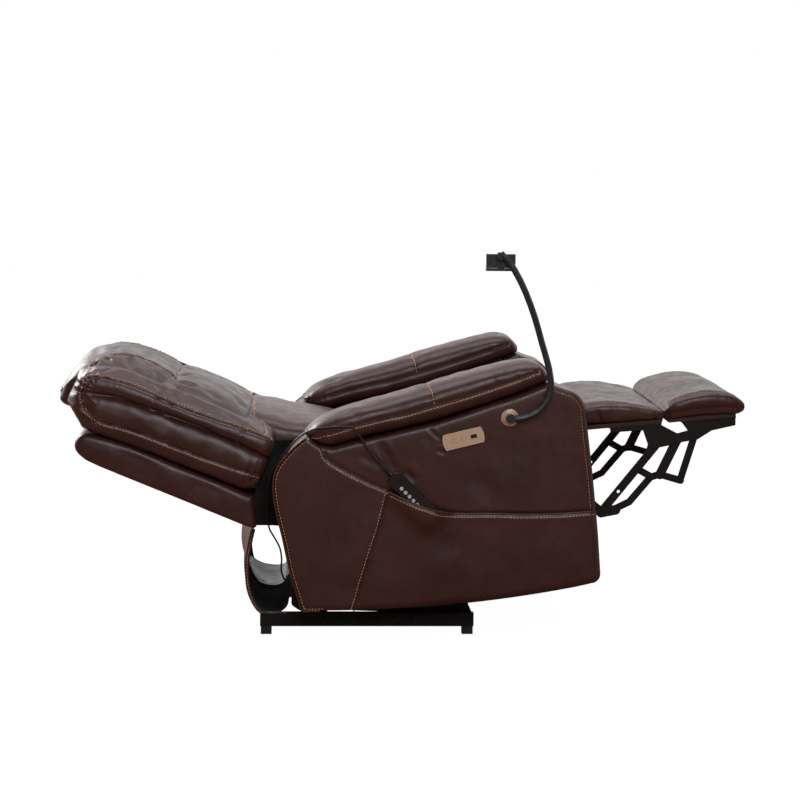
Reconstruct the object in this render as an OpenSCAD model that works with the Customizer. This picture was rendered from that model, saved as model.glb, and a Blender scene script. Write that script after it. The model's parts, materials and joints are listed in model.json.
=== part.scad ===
// Power lift recliner chair, drawn fully reclined with the footrest out.
// +X is the way the sitter faces, +Z is up, the floor is z = 0, and the origin is the centre of the four feet.
// Three frames are used: the room, the seat box (tilted back on the lift linkage) and the back rest.

/* [Base] */
// Distance between the front and rear feet
foot_pitch_x = 552; // [500:4:600]
// Distance between the left and right feet
foot_pitch_y = 560; // [550:2:580]
// Height of the rubber glides
glide_h = 22; // [16:1:30]
// Height of the base side rails
rail_h = 36; // [32:1:40]
// Width of the base side rails
rail_w = 25; // [20:1:28]
// Wall of the steel tubes
tube_wall = 2.5; // [2:0.5:4]
// Radius of the floor bolt holes
bolt_r = 4.5; // [3:0.5:6]

/* [Lift linkage] */
// Room position of the front pivot of the lift arms along X
lift_x = 262; // [255:1:266]
// Height of the front pivot of the lift arms
lift_z = 62; // [60:1:70]
// Length of the lift arms between their pivots
lift_arm_len = 452; // [430:2:460]
// Thickness of the flat steel used in the lift linkage
lift_t = 6; // [5:0.5:7]
// Width of the lift arms
lift_w = 36; // [30:1:38]

/* [Seat box] */
// Backward tilt of the seat box in degrees
box_tilt = 5.4; // [4:0.2:7]
// Overall width over the arm panels
chair_w = 900; // [880:5:940]
// Width of the seat between the arms
seat_w = 580; // [570:2:590]
// Length of the arm panels
arm_len = 804; // [798:2:820]
// Wall of the arm boxes
arm_wall = 16; // [12:1:20]
// Width of the arm rest pads
arm_pad_w = 174; // [160:2:178]
// Thickness of the steel side plates
side_t = 4; // [3:0.5:5]
// Thickness of the seat cushion over its springs
cushion_t = 116; // [100:2:130]

/* [Back] */
// Angle of the reclined back above the horizontal in degrees
back_angle = 22.5; // [20:0.5:26]
// Distance from the hinge to the top of the head pillow
back_len = 742; // [700:2:760]
// Width over the side rolls
back_w = 744; // [720:4:760]
// Thickness of the outer back panel
back_panel_t = 78; // [60:2:84]
// Radius of the back hinge pins
hinge_r = 8; // [6:0.5:10]

/* [Footrest] */
// Width of the footrest pads
foot_w = 548; // [520:4:560]
// Width of the flat steel footrest links
link_w = 22; // [18:1:24]
// Thickness of the footrest links
link_t = 4; // [3:0.5:4]
// Radius of the link rivets
rivet_r = 4; // [3:0.5:5]
// Thickness of the footrest boards
board_t = 12; // [9:1:15]

/* [Controls] */
// Length of the control plate
plate_l = 112; // [100:2:120]
// Height of the control plate
plate_h = 43; // [38:1:48]
// Length of the hand control
remote_l = 158; // [140:2:170]
// Width of the hand control
remote_w = 45; // [40:1:50]
// Thickness of the hand control
remote_t = 21; // [18:1:22]
// Diameter of the gooseneck
neck_d = 17; // [14:1:19]
// Diameter of the hand control cord
cord_d = 5; // [4:0.5:6]

/* [Hidden] */
$fn = 48;
gap = 0.3;              // clearance between soft solids and what they lie on
play = 1.5;             // side clearance between moving plates
fit = 0.05;             // radial clearance of a running pin
loose = 3.6;            // radial clearance where a linkage loop is left open
wire = 3.6;             // thickness of the seat springs

// ---- frames ---------------------------------------------------------------------------------------
box_at = [-180, 100];                    // rear bottom corner of the arm panels in the room
hinge_at = [112, 391];                   // back hinge in the seat box
module in_box() translate([box_at[0], 0, box_at[1]]) rotate([0, -box_tilt, 0]) children();
function to_box(p) = let(d = p - box_at)
    [d[0]*cos(box_tilt) + d[1]*sin(box_tilt), -d[0]*sin(box_tilt) + d[1]*cos(box_tilt)];
function to_room(p) =
    box_at + [p[0]*cos(box_tilt) - p[1]*sin(box_tilt), p[0]*sin(box_tilt) + p[1]*cos(box_tilt)];
hinge_room = to_room(hinge_at);
module in_back() translate([hinge_room[0], 0, hinge_room[1]]) rotate([0, back_angle, 0]) rotate([0, 0, 180])
    children();

// ---- shapes used by many pieces -------------------------------------------------------------------
module both() for (s = [0, 1]) mirror([0, s, 0]) children();
// A pin along Y at p = [x, z]
module pin(p, r, y0, y1) translate([p[0], y1, p[1]]) rotate([90, 0, 0]) cylinder(r = r, h = y1 - y0);
// A flat outline in X and Z made y1 - y0 thick
module plate(y0, y1) translate([0, y1, 0]) rotate([90, 0, 0]) linear_extrude(y1 - y0) children();
// A flat bar with round ends through the points of a list
module bar(pts, w, y0, y1) plate(y0, y1) {
    for (p = pts) translate(p) circle(r = w/2);
    for (i = [0:len(pts) - 2]) let(d = pts[i + 1] - pts[i])
        translate(pts[i]) rotate(atan2(d[1], d[0])) translate([0, 0.25 - w/2]) square([norm(d), w - 0.5]);
}
// A square tube open at both ends, along Y
module tube_y(x, z, w, h, y0, y1) difference() {
    translate([x, y0, z]) cube([w, y1 - y0, h]);
    translate([x + tube_wall, y0 - 1, z + tube_wall]) cube([w - 2*tube_wall, y1 - y0 + 2, h - 2*tube_wall]);
}
// Skin over a list of rings with as many points each, closed at both ends by a fan
module skin(rings) {
    n = len(rings[0]);
    m = len(rings);
    mid = function(r) [for (k = [0:2]) let(v = [for (p = r) p[k]]) (max(v) + min(v))/2];
    polyhedron(
        points = concat([for (r = rings) each r], [mid(rings[0]), mid(rings[m - 1])]),
        faces = concat(
            [for (i = [0:m - 2], j = [0:n - 1]) [i*n + j, (i + 1)*n + (j + 1)%n, i*n + (j + 1)%n]],
            [for (i = [0:m - 2], j = [0:n - 1]) [i*n + j, (i + 1)*n + j, (i + 1)*n + (j + 1)%n]],
            [for (j = [0:n - 1]) [m*n, j, (j + 1)%n]],
            [for (j = [0:n - 1]) [m*n + 1, (m - 1)*n + (j + 1)%n, (m - 1)*n + j]]));
}
// One rounded section of a pad: half width b, from z0 to z1, corner sharpness e
function lobe(x, yc, b, z0, z1, e, n) = [for (i = [0:n - 1]) let(a = 360*i/n, c = cos(a), s = sin(a))
    [x, yc + b*sign(c)*pow(abs(c), 2/e), (z0 + z1)/2 + (z1 - z0)/2*sign(s)*pow(abs(s), 2/e)]];
// A crowned pad along X through stations [x, half width, bottom, top]
module pad(stations, yc = 0, e = 3.2, n = 24)
    skin([for (q = stations) lobe(q[0], yc, q[1], q[2], q[3], e, n)]);

// ---- base -----------------------------------------------------------------------------------------
fx = foot_pitch_x/2;
fy = foot_pitch_y/2;
rail_top = glide_h + rail_h;
rail_in = fy - rail_w/2;                       // inner face of a side rail
foot_len = 30;
bracket_y = 249;                               // inner face of the fixed lift brackets
control_base = [lift_x + 18, lift_z - 22];      // front pivot of the control links
lift_pivot = [lift_x, lift_z];
lift_tail = [lift_x - sqrt(pow(lift_arm_len, 2) - pow(18, 2)), lift_z + 18];  // rear pivot of the lift arms
control_tail = lift_tail + [69.6, -40];          // rear pivot of the control links
lift_pin_r = 8;
control_pin_r = 6;
control_w = 20;
anchor_at = [-150, 66];                        // rear pivot of the lift motor
motor_y = 96;                                  // the lift motor sits left of the middle
clevis_gap = 26;

module base_frame() color("#141312") {
    // side rails, drilled through at each foot
    both() difference() {
        translate([-fx - 17, rail_in, glide_h]) cube([2*fx + 34, rail_w, rail_h]);
        translate([-fx - 18, rail_in + tube_wall, glide_h + tube_wall])
            cube([2*fx + 36, rail_w - 2*tube_wall, rail_h - 2*tube_wall]);
        for (x = [-fx, fx]) translate([x, fy, 0]) cylinder(r = bolt_r, h = 100);
        // row of rivet holes along the outer wall
        for (i = [0:5]) translate([-120 + 48*i, fy + rail_w/2 + 1, glide_h + 0.7*rail_h])
            rotate([90, 0, 0]) cylinder(r = 3, h = tube_wall + 2);
    }
    // rear cross tube and front cross plate
    tube_y(-fx - 14, glide_h, 28, 24, -rail_in - 1, rail_in + 1);
    translate([lift_x - 30, -rail_in - 1, glide_h]) cube([fx + 47 - lift_x, 2*rail_in + 2, 6]);
    // front brackets with the pivots of the lift arms and of the control links
    both() {
        difference() {
            plate(bracket_y, bracket_y + lift_t) polygon([
                [lift_x - 26, glide_h + 5], [fx + 17, glide_h + 5], [fx + 17, lift_z - 14],
                [lift_x + 14, lift_z + 24], [lift_x - 14, lift_z + 24], [lift_x - 26, lift_z]]);
            pin(lift_pivot - [18, 20], 4, bracket_y - 1, bracket_y + lift_t + 1);
        }
        pin(lift_pivot, lift_pin_r, arm_y + 0.2, bracket_y + 1);
        pin(control_base, control_pin_r, bracket_y + lift_t - 1, bracket_y + 2*lift_t + 2*play);
    }
    // floor plate and ears that hold the lift motor
    translate([-fx + 10, motor_y - 30, glide_h]) cube([fx + anchor_at[0] + 4, 60, 8]);
    for (s = [-1, 1]) translate([0, motor_y + s*(clevis_gap/2 + 3), 0]) difference() {
        union() {
            pin(anchor_at, 13, -3, 3);
            translate([anchor_at[0] - 13, -3, glide_h]) cube([26, 6, anchor_at[1] - glide_h]);
        }
    }
    pin(anchor_at, 5, motor_y - clevis_gap/2 - 1, motor_y + clevis_gap/2 + 1);
}
module foot_glides() color("#1d1c1b") both() for (x = [-fx, fx]) difference() {
    translate([x - foot_len/2, fy - rail_w/2, 0]) cube([foot_len, rail_w, glide_h]);
    translate([x, fy, -1]) cylinder(r = bolt_r, h = glide_h + 2);
}

// ---- lift linkage ---------------------------------------------------------------------------------
arm_y = bracket_y - play - lift_t;             // lift arms run inside the brackets
lug_r = 100;                                   // lever on the lift torque tube
lug_at = lift_pivot + lug_r*[cos(105), sin(105)];
module lift_arm_frame() color("#1a1918") {
    both() difference() {
        bar([lift_pivot, lift_tail], lift_w, arm_y, arm_y + lift_t);
        pin(lift_pivot, lift_pin_r + fit, arm_y + 0.15, arm_y + lift_t + 1);
        pin(lift_tail, lift_pin_r + fit, arm_y - 1, arm_y + lift_t + 1);
    }
    // torque tube between the arms
    pin(lift_pivot, 14, -arm_y - 0.1, arm_y + 0.1);
    // lever pushed by the lift rod
    difference() {
        bar([lift_pivot, lug_at], 26, motor_y - 4, motor_y + 4);
        pin(lug_at, 5 + fit, motor_y - 5, motor_y + 5);
    }
}
module lift_control_links() color("#1a1918") both() difference() {
    bar([control_base, control_tail], control_w, bracket_y + lift_t + play, bracket_y + 2*lift_t + play - 1);
    pin(control_base, control_pin_r + fit, bracket_y, bracket_y + 20);
    pin(control_tail, control_pin_r + loose/2, bracket_y, bracket_y + 20);
}

// ---- linear actuators: motor, gearbox and tube on one pivot, rod on the other -----------------------
tube_r = 17;
rod_r = 9;
// body of an actuator from its pivot p towards q, its tube ending at length l
module actuator_body(p, q, l, yc, side) {
    d = q - p;
    translate([p[0], yc, p[1]]) rotate([0, -atan2(d[1], d[0]), 0]) difference() {
        union() {
            rotate([90, 0, 0]) translate([0, 0, -10]) cylinder(r = 11, h = 20);
            translate([0, -9, -9]) cube([34, 18, 18]);
            // gearbox with the motor lying beside the tube
            translate([26, -24, -24]) cube([52, 48, 48]);
            translate([30, side*38 - 22, -22]) cube([40, 44, 44]);
            translate([66, side*40, 0]) rotate([0, 90, 0]) cylinder(r = 21, h = 96);
            translate([160, side*40, 0]) rotate([0, 90, 0]) cylinder(r = 14, h = 8);
            translate([70, 0, 0]) rotate([0, 90, 0]) cylinder(r = tube_r, h = l - 70);
            translate([l - 16, 0, 0]) rotate([0, 90, 0]) cylinder(r = tube_r + 2.5, h = 16);
        }
        rotate([90, 0, 0]) translate([0, 0, -11]) cylinder(r = 5 + fit, h = 22);
        translate([110, 0, 0]) rotate([0, 90, 0]) cylinder(r = rod_r + fit, h = l);
    }
}
// rod of an actuator, ending in a fork around the lever at q
module actuator_rod(p, q, yc, back, lever_t = 8) {
    d = q - p;
    l = norm(d);
    translate([p[0], yc, p[1]]) rotate([0, -atan2(d[1], d[0]), 0]) {
        translate([l - back, 0, 0]) rotate([0, 90, 0]) cylinder(r = rod_r, h = back - 52);
        translate([l - 60, -lever_t/2 - 6 - play, -11]) cube([12, lever_t + 12 + 2*play, 22]);
        for (s = [-1, 1]) translate([0, s*(lever_t/2 + play + 3), 0]) difference() {
            union() {
                translate([l - 52, -3, -11]) cube([52, 6, 22]);
                translate([l, 3, 0]) rotate([90, 0, 0]) cylinder(r = 11, h = 6);
            }
            translate([l, 4, 0]) rotate([90, 0, 0]) cylinder(r = 5, h = 8);
        }
    }
}
module lift_motor() color("#232323")
    actuator_body(anchor_at, lug_at, 300, motor_y, -1);
module lift_rod() color("#b8b8b4") actuator_rod(anchor_at, lug_at, motor_y, 250);

// ---- seat box structure -----------------------------------------------------------------------------
seat_y = seat_w/2;                             // inner face of the arm panels
side_y = seat_y - 20;                          // inner face of the side plates
deck = function(x) 290 + (x - 200)*0.098;      // line of the seat springs
crank_at = [676, 320];                         // pivot of the footrest crank
seat_front = 780;
rear_rail = [2, 22];
rail_s = 30;
spring_rail_h = 22;
spring_rail = [186, deck(188) - wire - spring_rail_h];
front_rail_h = 24;
front_rail = [742, deck(740) - wire - front_rail_h];
recline_anchor = [600, 200];
foot_anchor = [180, 140];
tail_box = to_box(lift_tail);
ctail_box = to_box(control_tail);
recline_y = -50;
footrest_y = 20;
strut = 24;                                    // square struts that carry the two motors
strut_off = 14;                                // from a motor's pivot to its strut

module side_plate() difference() {
    union() {
        plate(side_y, side_y + side_t) polygon([
            [0, 16], [seat_front - 20, 16], [seat_front - 4, 40], [seat_front - 4, deck(seat_front) - 6],
            [200, deck(200) - 1], [150, 330], [142, hinge_at[1] + 12], [hinge_at[0] + 12, hinge_at[1] + 24],
            [hinge_at[0] - 12, hinge_at[1] + 24], [78, hinge_at[1] + 4], [30, 240], [0, 120]]);
        // welded spacers that carry the arm panels
        for (p = [[60, 60], [60, 220], [420, 60], [420, 260], [730, 60], [730, 300]])
            pin(p, 9, side_y + side_t - 1, seat_y);
        pin(hinge_at, hinge_r, side_y - 12, side_y + 1);
        pin(crank_at, hinge_r, layer(0) + 0.7, side_y + 1);
    }
    for (x = [200, 450]) plate(side_y - 1, side_y + side_t + 1) polygon([
        [x, 60], [x + 120, 60], [x + 130, 80], [x + 130, 200], [x + 110, 215], [x + 10, 215], [x, 200]]);
}
module side_plate_left() color("#1b1a19") in_box() side_plate();
module side_plate_right() color("#1b1a19") in_box() mirror([0, 1, 0]) side_plate();

module cross_rails() color("#1b1a19") in_box() {
    tube_y(rear_rail[0], rear_rail[1], rail_s, rail_s, -side_y, side_y);
    tube_y(front_rail[0], front_rail[1], rail_s, front_rail_h, -side_y, side_y);
    tube_y(spring_rail[0], spring_rail[1], 24, spring_rail_h, -side_y, side_y);
    // lugs that hang on the lift arms and control links
    both() {
        plate(bracket_y, bracket_y + lift_t) polygon([
            [tail_box[0] - 14, rear_rail[1] + 10], [tail_box[0] - 18, tail_box[1] - 4],
            [tail_box[0] - 4, tail_box[1] - 18], [ctail_box[0] - 10, ctail_box[1] - 12],
            [ctail_box[0] + 10, ctail_box[1] - 12], [ctail_box[0] + 14, ctail_box[1] + 12],
            [rear_rail[0] + rail_s, rear_rail[1] + 4]]);
        pin(tail_box, lift_pin_r, arm_y - play, bracket_y + 1);
        pin(ctail_box, control_pin_r, bracket_y + lift_t - 1, bracket_y + 2*lift_t + 2*play);
    }
    // ears for the recline motor on a strut hung from the front rail, inside the footrest linkages
    hang_y = layer(3) - 13;
    strut_at = recline_anchor + [strut_off, -strut/2];
    tube_y(strut_at[0], strut_at[1], strut, strut, -hang_y, hang_y);
    both() plate(hang_y - 5, hang_y) polygon([strut_at, strut_at + [strut, 0],
        front_rail + [rail_s - 4, 2], front_rail + [rail_s - 4, front_rail_h - 4],
        front_rail + [2, front_rail_h - 4], strut_at + [0, strut]]);
    for (s = [-1, 1]) translate([0, recline_y + s*(clevis_gap/2 + 3), 0])
        bar([recline_anchor, recline_anchor + [strut_off + 12, 0]], 22, -3, 3);
    pin(recline_anchor, 5, recline_y - clevis_gap/2 - 1, recline_y + clevis_gap/2 + 1);
    // strut and ears for the footrest motor
    tube_y(foot_anchor[0] - strut_off - strut, foot_anchor[1] - strut/2, strut, strut, -side_y, side_y);
    for (s = [-1, 1]) translate([0, footrest_y + s*(clevis_gap/2 + 3), 0])
        bar([foot_anchor, foot_anchor - [strut_off + 12, 0]], 22, -3, 3);
    pin(foot_anchor, 5, footrest_y - clevis_gap/2 - 1, footrest_y + clevis_gap/2 + 1);
}

// Zigzag seat springs from the rear spring rail to the front rail
spring_x0 = spring_rail[0] + 4;
spring_x1 = front_rail[0] + 12;
waves = 20;
wave_h = 22;
module zigzag() {
    step = (spring_x1 - spring_x0)/waves;
    ribbon([for (i = [0:waves*4]) let(u = i/4) [spring_x0 + u*step, wave_h*sin(180*u)]], wire);
}
module seat_springs() color("#6f7072") in_box()
    translate([200, 0, deck(200) - wire]) rotate([0, -atan(0.098), 0]) translate([-200, 0, 0])
        for (i = [-2:2]) translate([0, 100*i, 0]) linear_extrude(wire) zigzag();

// ---- soft seat --------------------------------------------------------------------------------------
lumbar_r = 100;                                // radius of the back's lower end round its hinge
seat_rear = hinge_at[0] + lumbar_r + 4;
module seat_cushion() color("#3a2826") in_box() {
    b = seat_y - 4;
    l = seat_front - seat_rear;
    pad([for (q = [[0, 0.86, 0.30, 0.62], [0.02, 0.95, 0.12, 0.80], [0.07, 0.985, 0.02, 0.93],
        [0.2, 0.99, 0, 1], [0.35, 1, 0, 1.04], [0.5, 1, 0, 1.06], [0.65, 1, 0, 1.06], [0.8, 1, 0, 1.04],
        [0.9, 0.99, 0.02, 1], [0.955, 0.985, 0.1, 0.93], [0.985, 0.96, 0.24, 0.8], [1, 0.9, 0.38, 0.62]])
        let(x = seat_rear + l*q[0]) [x, b*q[1], deck(x) + gap + cushion_t*q[2],
            deck(x) + gap + cushion_t*q[3]]], e = 4, n = 32);
}

// ---- arms -------------------------------------------------------------------------------------------
// Underside and top of the arm pad along the arm: [x, bottom, top, share of the half width]
pad_rows = [[58, 468, 474, 0.6], [68, 458, 485, 0.78], [86, 446, 500, 0.9], [116, 439, 516, 0.97],
    [170, 448, 533, 1], [240, 458, 547, 1], [306, 468, 558, 1], [387, 480, 575, 1], [464, 497, 592, 1],
    [540, 516, 607, 1], [600, 529, 616, 1], [640, 539, 617, 0.98], [668, 546, 611, 0.93],
    [688, 549, 597, 0.85], [700, 551, 582, 0.7]];
pad_line = [for (q = pad_rows) [q[0]*arm_len/804, q[1], q[2], q[3]]];
arm_out = chair_w/2;
arm_mid = (arm_out + seat_y)/2;
module arm_outline() polygon(concat(
    [[0, 0]],
    [for (i = [1:7]) let(u = i/8) [(arm_len - 24)*u, -88*u*(1 - u)]],
    [for (a = [-90:18:0]) [arm_len - 25 + 25*cos(a), 26 + 25*sin(a)]],
    [[arm_len + 1, 130], [arm_len, 200], [arm_len - 3, 320], [arm_len - 7, 410]],
    [for (a = [10:16:74]) [arm_len - 72 + 64*cos(a), 462 + 64*sin(a) + 4]],
    [[arm_len - 100, 538]],
    [for (i = [len(pad_line) - 1:-1:0]) [pad_line[i][0], pad_line[i][1] - 2*gap]],
    [[12, 435], [-26, 397], [-41, 370], [-48, 335], [-46, 282], [-34, 200], [-21, 98]]));
module arm_cavity() polygon([[24, -40], [arm_len - 40, -40], [arm_len - 24, 60], [arm_len - 24, 380],
    [arm_len - 60, 470], [arm_len - 130, 505], [300, 440], [130, 410], [40, 410], [-10, 350], [-14, 240], [4, 100]]);
module hollow_arm() difference() {
    plate(seat_y, arm_out) arm_outline();
    plate(seat_y + arm_wall, arm_out - arm_wall) arm_cavity();
}
module arm_panel_left() color("#3b2725") in_box() hollow_arm();
module arm_panel_right() color("#3b2725") in_box() mirror([0, 1, 0]) hollow_arm();
module arm_pad() pad([for (q = pad_line) [q[0], arm_pad_w/2*q[3], q[1], q[2]]], yc = arm_mid, e = 2.9, n = 20);
module arm_pad_left() color("#402b29") in_box() arm_pad();
module arm_pad_right() color("#402b29") in_box() mirror([0, 1, 0]) arm_pad();

// ---- pocket, hand control and its cord ----------------------------------------------------------------
remote_top = to_box([53, 471]);                // middle of the hand control's upper end
remote_dir = -50.9;                            // direction of its lower end in the seat box
remote_y = -arm_out - 0.5;                     // its back face
pocket_depth = remote_t + 2.5;
pocket_wall = 3;
rest_z = remote_top[1] + (remote_l - remote_w/2)*sin(remote_dir) - remote_w/2 - gap;
module pocket_outline() polygon([[240, 306], [292, 273], [346, 240], [415, 216], [470, 211], [520, 208],
    [512, 110], [490, 80], [430, 66], [250, 66], [222, 84], [214, 110], [222, 200]]);
module pocket_inside() polygon([[243, 360], [517, 360], [517, 208], [509, 111], [488, 83], [430, 69],
    [251, 69], [224, 86], [217, 110], [225, 200], [243, 304]]);
module side_pocket() color("#3b2725") in_box() {
    difference() {
        plate(-arm_out - pocket_depth - pocket_wall, -arm_out) pocket_outline();
        plate(-arm_out - pocket_depth, -arm_out + 1) pocket_inside();
    }
    // stitched rest under the hand control
    plate(-arm_out - pocket_depth - 1, -arm_out)
        translate([330, rest_z - 10]) square([56, 10]);
}
module at_remote() in_box() translate([remote_top[0], 0, remote_top[1]]) rotate([0, -remote_dir, 0]) children();
module hand_control() color("#0d0d0e") at_remote() difference() {
    union() {
        for (x = [remote_w/2, remote_l - remote_w/2])
            translate([x, remote_y, 0]) rotate([90, 0, 0]) cylinder(d = remote_w, h = remote_t);
        translate([remote_w/2, remote_y - remote_t, -remote_w/2]) cube([remote_l - remote_w, remote_t, remote_w]);
        // strain relief of the cord
        translate([-14, remote_y - remote_t/2, 0]) rotate([0, 90, 0]) cylinder(r1 = 3.4, r2 = 5.5, h = 18);
    }
    for (i = [0:4]) button_seat(i);
}
button_r = 5;
button_rise = 1.6;
button_deep = 2.75;
button_z = -6;                                 // the keys sit off the middle line
function button_x(i) = 44 + 15*i;
module button_seat(i) translate([button_x(i), remote_y - remote_t + button_deep, button_z]) rotate([90, 0, 0])
    cylinder(r = button_r + 0.4, h = 10);
module remote_button(i) color("#e8e8e8") at_remote()
    translate([button_x(i), remote_y - remote_t + 1.8, button_z]) rotate([90, 0, 0])
        cylinder(r = button_r, h = 1.8 + button_rise);
module remote_button_1() remote_button(0);
module remote_button_2() remote_button(1);
module remote_button_3() remote_button(2);
module remote_button_4() remote_button(3);
module remote_button_5() remote_button(4);

// Cord from the hand control round the arm's rear edge to the connector inside the box
cord_route = [[43, -461, 481.2], [36, -461, 488], [24, -461, 501], [6, -460, 520], [-10, -460, 540],
    [-26, -461, 564], [-40, -462, 584], [-56, -462, 597], [-80, -462, 598], [-112, -462, 596],
    [-146, -462, 592], [-174, -460, 580], [-200, -457, 560], [-216, -450, 540], [-230, -438, 516],
    [-251, -412, 490], [-267, -380, 452], [-274, -350, 404], [-276, -326, 350], [-272, -306, 296],
    [-262, -290, 248], [-254, -276, 206], [-248, -262, 172], [-240, -253, 150], [-228, -250, 141.5],
    [-220.2, -250, 140.4], [-208.3, -250, 141.5]];
module tube_along(route, r, n) {
    m = len(route);
    skin([for (i = [0:m - 1]) let(
        d = route[min(i + 1, m - 1)] - route[max(i - 1, 0)],
        t = d/norm(d),
        a = cross(t, abs(t[1]) < 0.9 ? [0, 1, 0] : [1, 0, 0]),
        u = a/norm(a),
        v = cross(t, u))
        [for (j = [0:n - 1]) route[i] + r*(cos(360*j/n)*u + sin(360*j/n)*v)]]);
}
module remote_cord() color("#0c0c0c") tube_along(cord_route, cord_d/2, 8);
conn = [-24, 44];
module cord_connector() color("#141414") in_box() {
    translate([conn[0], -262, conn[1] - 8]) cube([rear_rail[0] - conn[0], 24, 16]);
}

// ---- control plate --------------------------------------------------------------------------------------
plate_at = [464, 425];
plate_rise = 8.5;
plate_t = 5;
module at_plate() in_box() translate([plate_at[0], -arm_out, plate_at[1]]) rotate([0, -plate_rise, 0])
    rotate([90, 0, 0]) children();
// outline with bowed short ends, wider by g all round
module bowed(g) {
    l = plate_l/2 + g;
    h = plate_h/2 + g;
    bow = 5;
    polygon(concat(
        [for (i = [-4:4]) [l - bow*pow(i/4, 2), h*i/4]],
        [for (i = [4:-1:-4]) [-l + bow*pow(i/4, 2), h*i/4]]));
}
module plate_gasket() color("#0d0d0d") at_plate() linear_extrude(1.5) bowed(2.5);
module control_plate() color("#b8906b") at_plate() difference() {
    translate([0, 0, 1.5]) linear_extrude(plate_t) bowed(0);
    for (x = [-26, 0]) translate([x, 0, 2.5]) cylinder(r = 6.4, h = 10);
    translate([20, -5, 2.5]) cube([16, 10, 10]);
}
module plate_button(x) color("#c39c78") at_plate()
    translate([x, 0, 3.45]) cylinder(r = 6, h = plate_t - 0.75);
module plate_button_1() plate_button(-26);
module plate_button_2() plate_button(0);
module usb_socket() color("#101010") at_plate() difference() {
    translate([20, -5, 2.5]) cube([16, 10, plate_t - 0.4]);
    translate([22, -2.5, 3.5]) cube([12, 5, 10]);
}
module power_supply() color("#181818") in_box() {
    translate([330, side_y - 62, 60]) cube([140, 62, 70]);
    translate([300, side_y - 44, 78]) cube([31, 26, 22]);
}

// ---- rear flap: loose leather sling from the back panel down to the rear rail -----------------------------
flap_w = 472;
flap_t = 3;
flap_line = [[-311, 290], [-328, 252], [-337, 212], [-336, 168], [-328, 128], [-312, 90], [-292, 62],
    [-264, 52], [-232, 54], [-206, 72], [-188, 104], [-170, 121]];
module ribbon(line, t) {
    n = len(line);
    function off(s) = [for (i = [0:n - 1]) let(
        d = line[min(i + 1, n - 1)] - line[max(i - 1, 0)], u = d/norm(d))
        line[i] + s*t/2*[-u[1], u[0]]];
    lo = off(-1);
    polygon(concat(off(1), [for (i = [n - 1:-1:0]) lo[i]]));
}
module rear_flap() color("#c9b195") plate(-flap_w/2, flap_w/2) ribbon(flap_line, flap_t);

// ---- recline and footrest actuators -------------------------------------------------------------------------
recline_lever = hinge_at + 150*[cos(-72), sin(-72)];
foot_lever = crank_at + 80*[cos(-25), sin(-25)];
module recline_motor() color("#232323") in_box()
    actuator_body(recline_anchor, recline_lever, 330, recline_y, -1);
module recline_rod() color("#b8b8b4") in_box() actuator_rod(recline_anchor, recline_lever, recline_y, 290);
module footrest_motor() color("#232323") in_box()
    actuator_body(foot_anchor, foot_lever, 370, footrest_y, 1);
module footrest_rod() color("#b8b8b4") in_box() actuator_rod(foot_anchor, foot_lever, footrest_y, 320);

// ---- back -----------------------------------------------------------------------------------------------------
frame_y = 236;                                 // middle of the back's side posts
post_n = -180;                                 // underside of the posts
post_h = 30;
panel_n = [-258, -258 + back_panel_t];         // outer back panel, outside and inside
side_in = 256;                                 // inner side of the side rolls, at the seat end
module back_frame() color("#20201f") {
    in_back() {
        both() {
            translate([40, frame_y - 14, post_n]) cube([570, 28, post_h]);
            // hinge bracket from the post to the hinge pin
            difference() {
                plate(side_y - 8, side_y - 8 + 5) polygon([[-16, -8], [-9, 14], [9, 14], [20, 4],
                    [120, post_n + post_h], [120, post_n], [40, post_n]]);
                pin([0, 0], hinge_r + fit, side_y - 20, side_y);
            }
            translate([46, frame_y + 13, post_n]) cube([70, side_y - 8 - frame_y - 13 + 1, post_h]);
        }
        for (x = [60, 330, 584]) translate([x, -frame_y, post_n]) cube([26, 2*frame_y, post_h]);
        // board between the posts under the pillows
        translate([62, -frame_y, post_n]) cube([540, 2*frame_y, 5]);
    }
    // lever for the recline rod
    in_box() difference() {
        bar([recline_lever, recline_lever + [-186, 33]], 24, recline_y - 4, recline_y + 4);
        pin(recline_lever, 5 + fit, recline_y - 5, recline_y + 5);
    }
}
module outer_back_panel() color("#3b2725") in_back() {
    n0 = panel_n[0];
    n1 = panel_n[1];
    plate(-back_w/2 + 18, back_w/2 - 18) polygon(concat(
        [[112, n0], [560, n0 - 3], [600, n0 - 2]],
        [for (a = [-60:20:60]) [609 + 33*cos(a), (n0 + n1)/2 - 4 + 31*sin(a)]],
        [[600, n1 - 10], [560, n1 - 4], [490, n1], [146, n1]]));
}
// Crowned pillow between the side rolls: l0 to l1 along the back, h = crest height
module back_pillow(l0, l1, half, low, crest, e = 3) {
    l = l1 - l0;
    pad([for (q = [[0, 0.9, 0.3, 0.55], [0.03, 0.96, 0.14, 0.74], [0.1, 0.99, 0.03, 0.9], [0.25, 1, 0, 0.98],
        [0.42, 1, 0, 1], [0.58, 1, 0, 1], [0.75, 1, 0, 0.98], [0.9, 0.99, 0.03, 0.9], [0.97, 0.96, 0.14, 0.74],
        [1, 0.9, 0.3, 0.55]])
        [l0 + l*q[0], half*q[1], low + (crest - low)*q[2], low + (crest - low)*q[3]]], e = e, n = 32);
}
pillow_low = post_n + post_h + gap;
module lumbar_pad() color("#3f2a28") in_back() {
    // round under end about the hinge, then a crowned pad up to the middle pillow
    b = side_in - 4;
    pad([for (q = [[-94, -26, 24], [-88, -48, 40], [-70, -72, 62], [-40, -90, 76], [0, -98, 84],
        [40, -110, 82], [90, -130, 72], [140, pillow_low, 60], [190, pillow_low, 50], [222, pillow_low + 12, 40],
        [237.7, pillow_low + 40, 18]]) [q[0], b, q[1], q[2]]], e = 5, n = 32);
}
module mid_pillow() color("#3f2a28") in_back() back_pillow(238, 462, 292, pillow_low, 46, 4);
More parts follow.
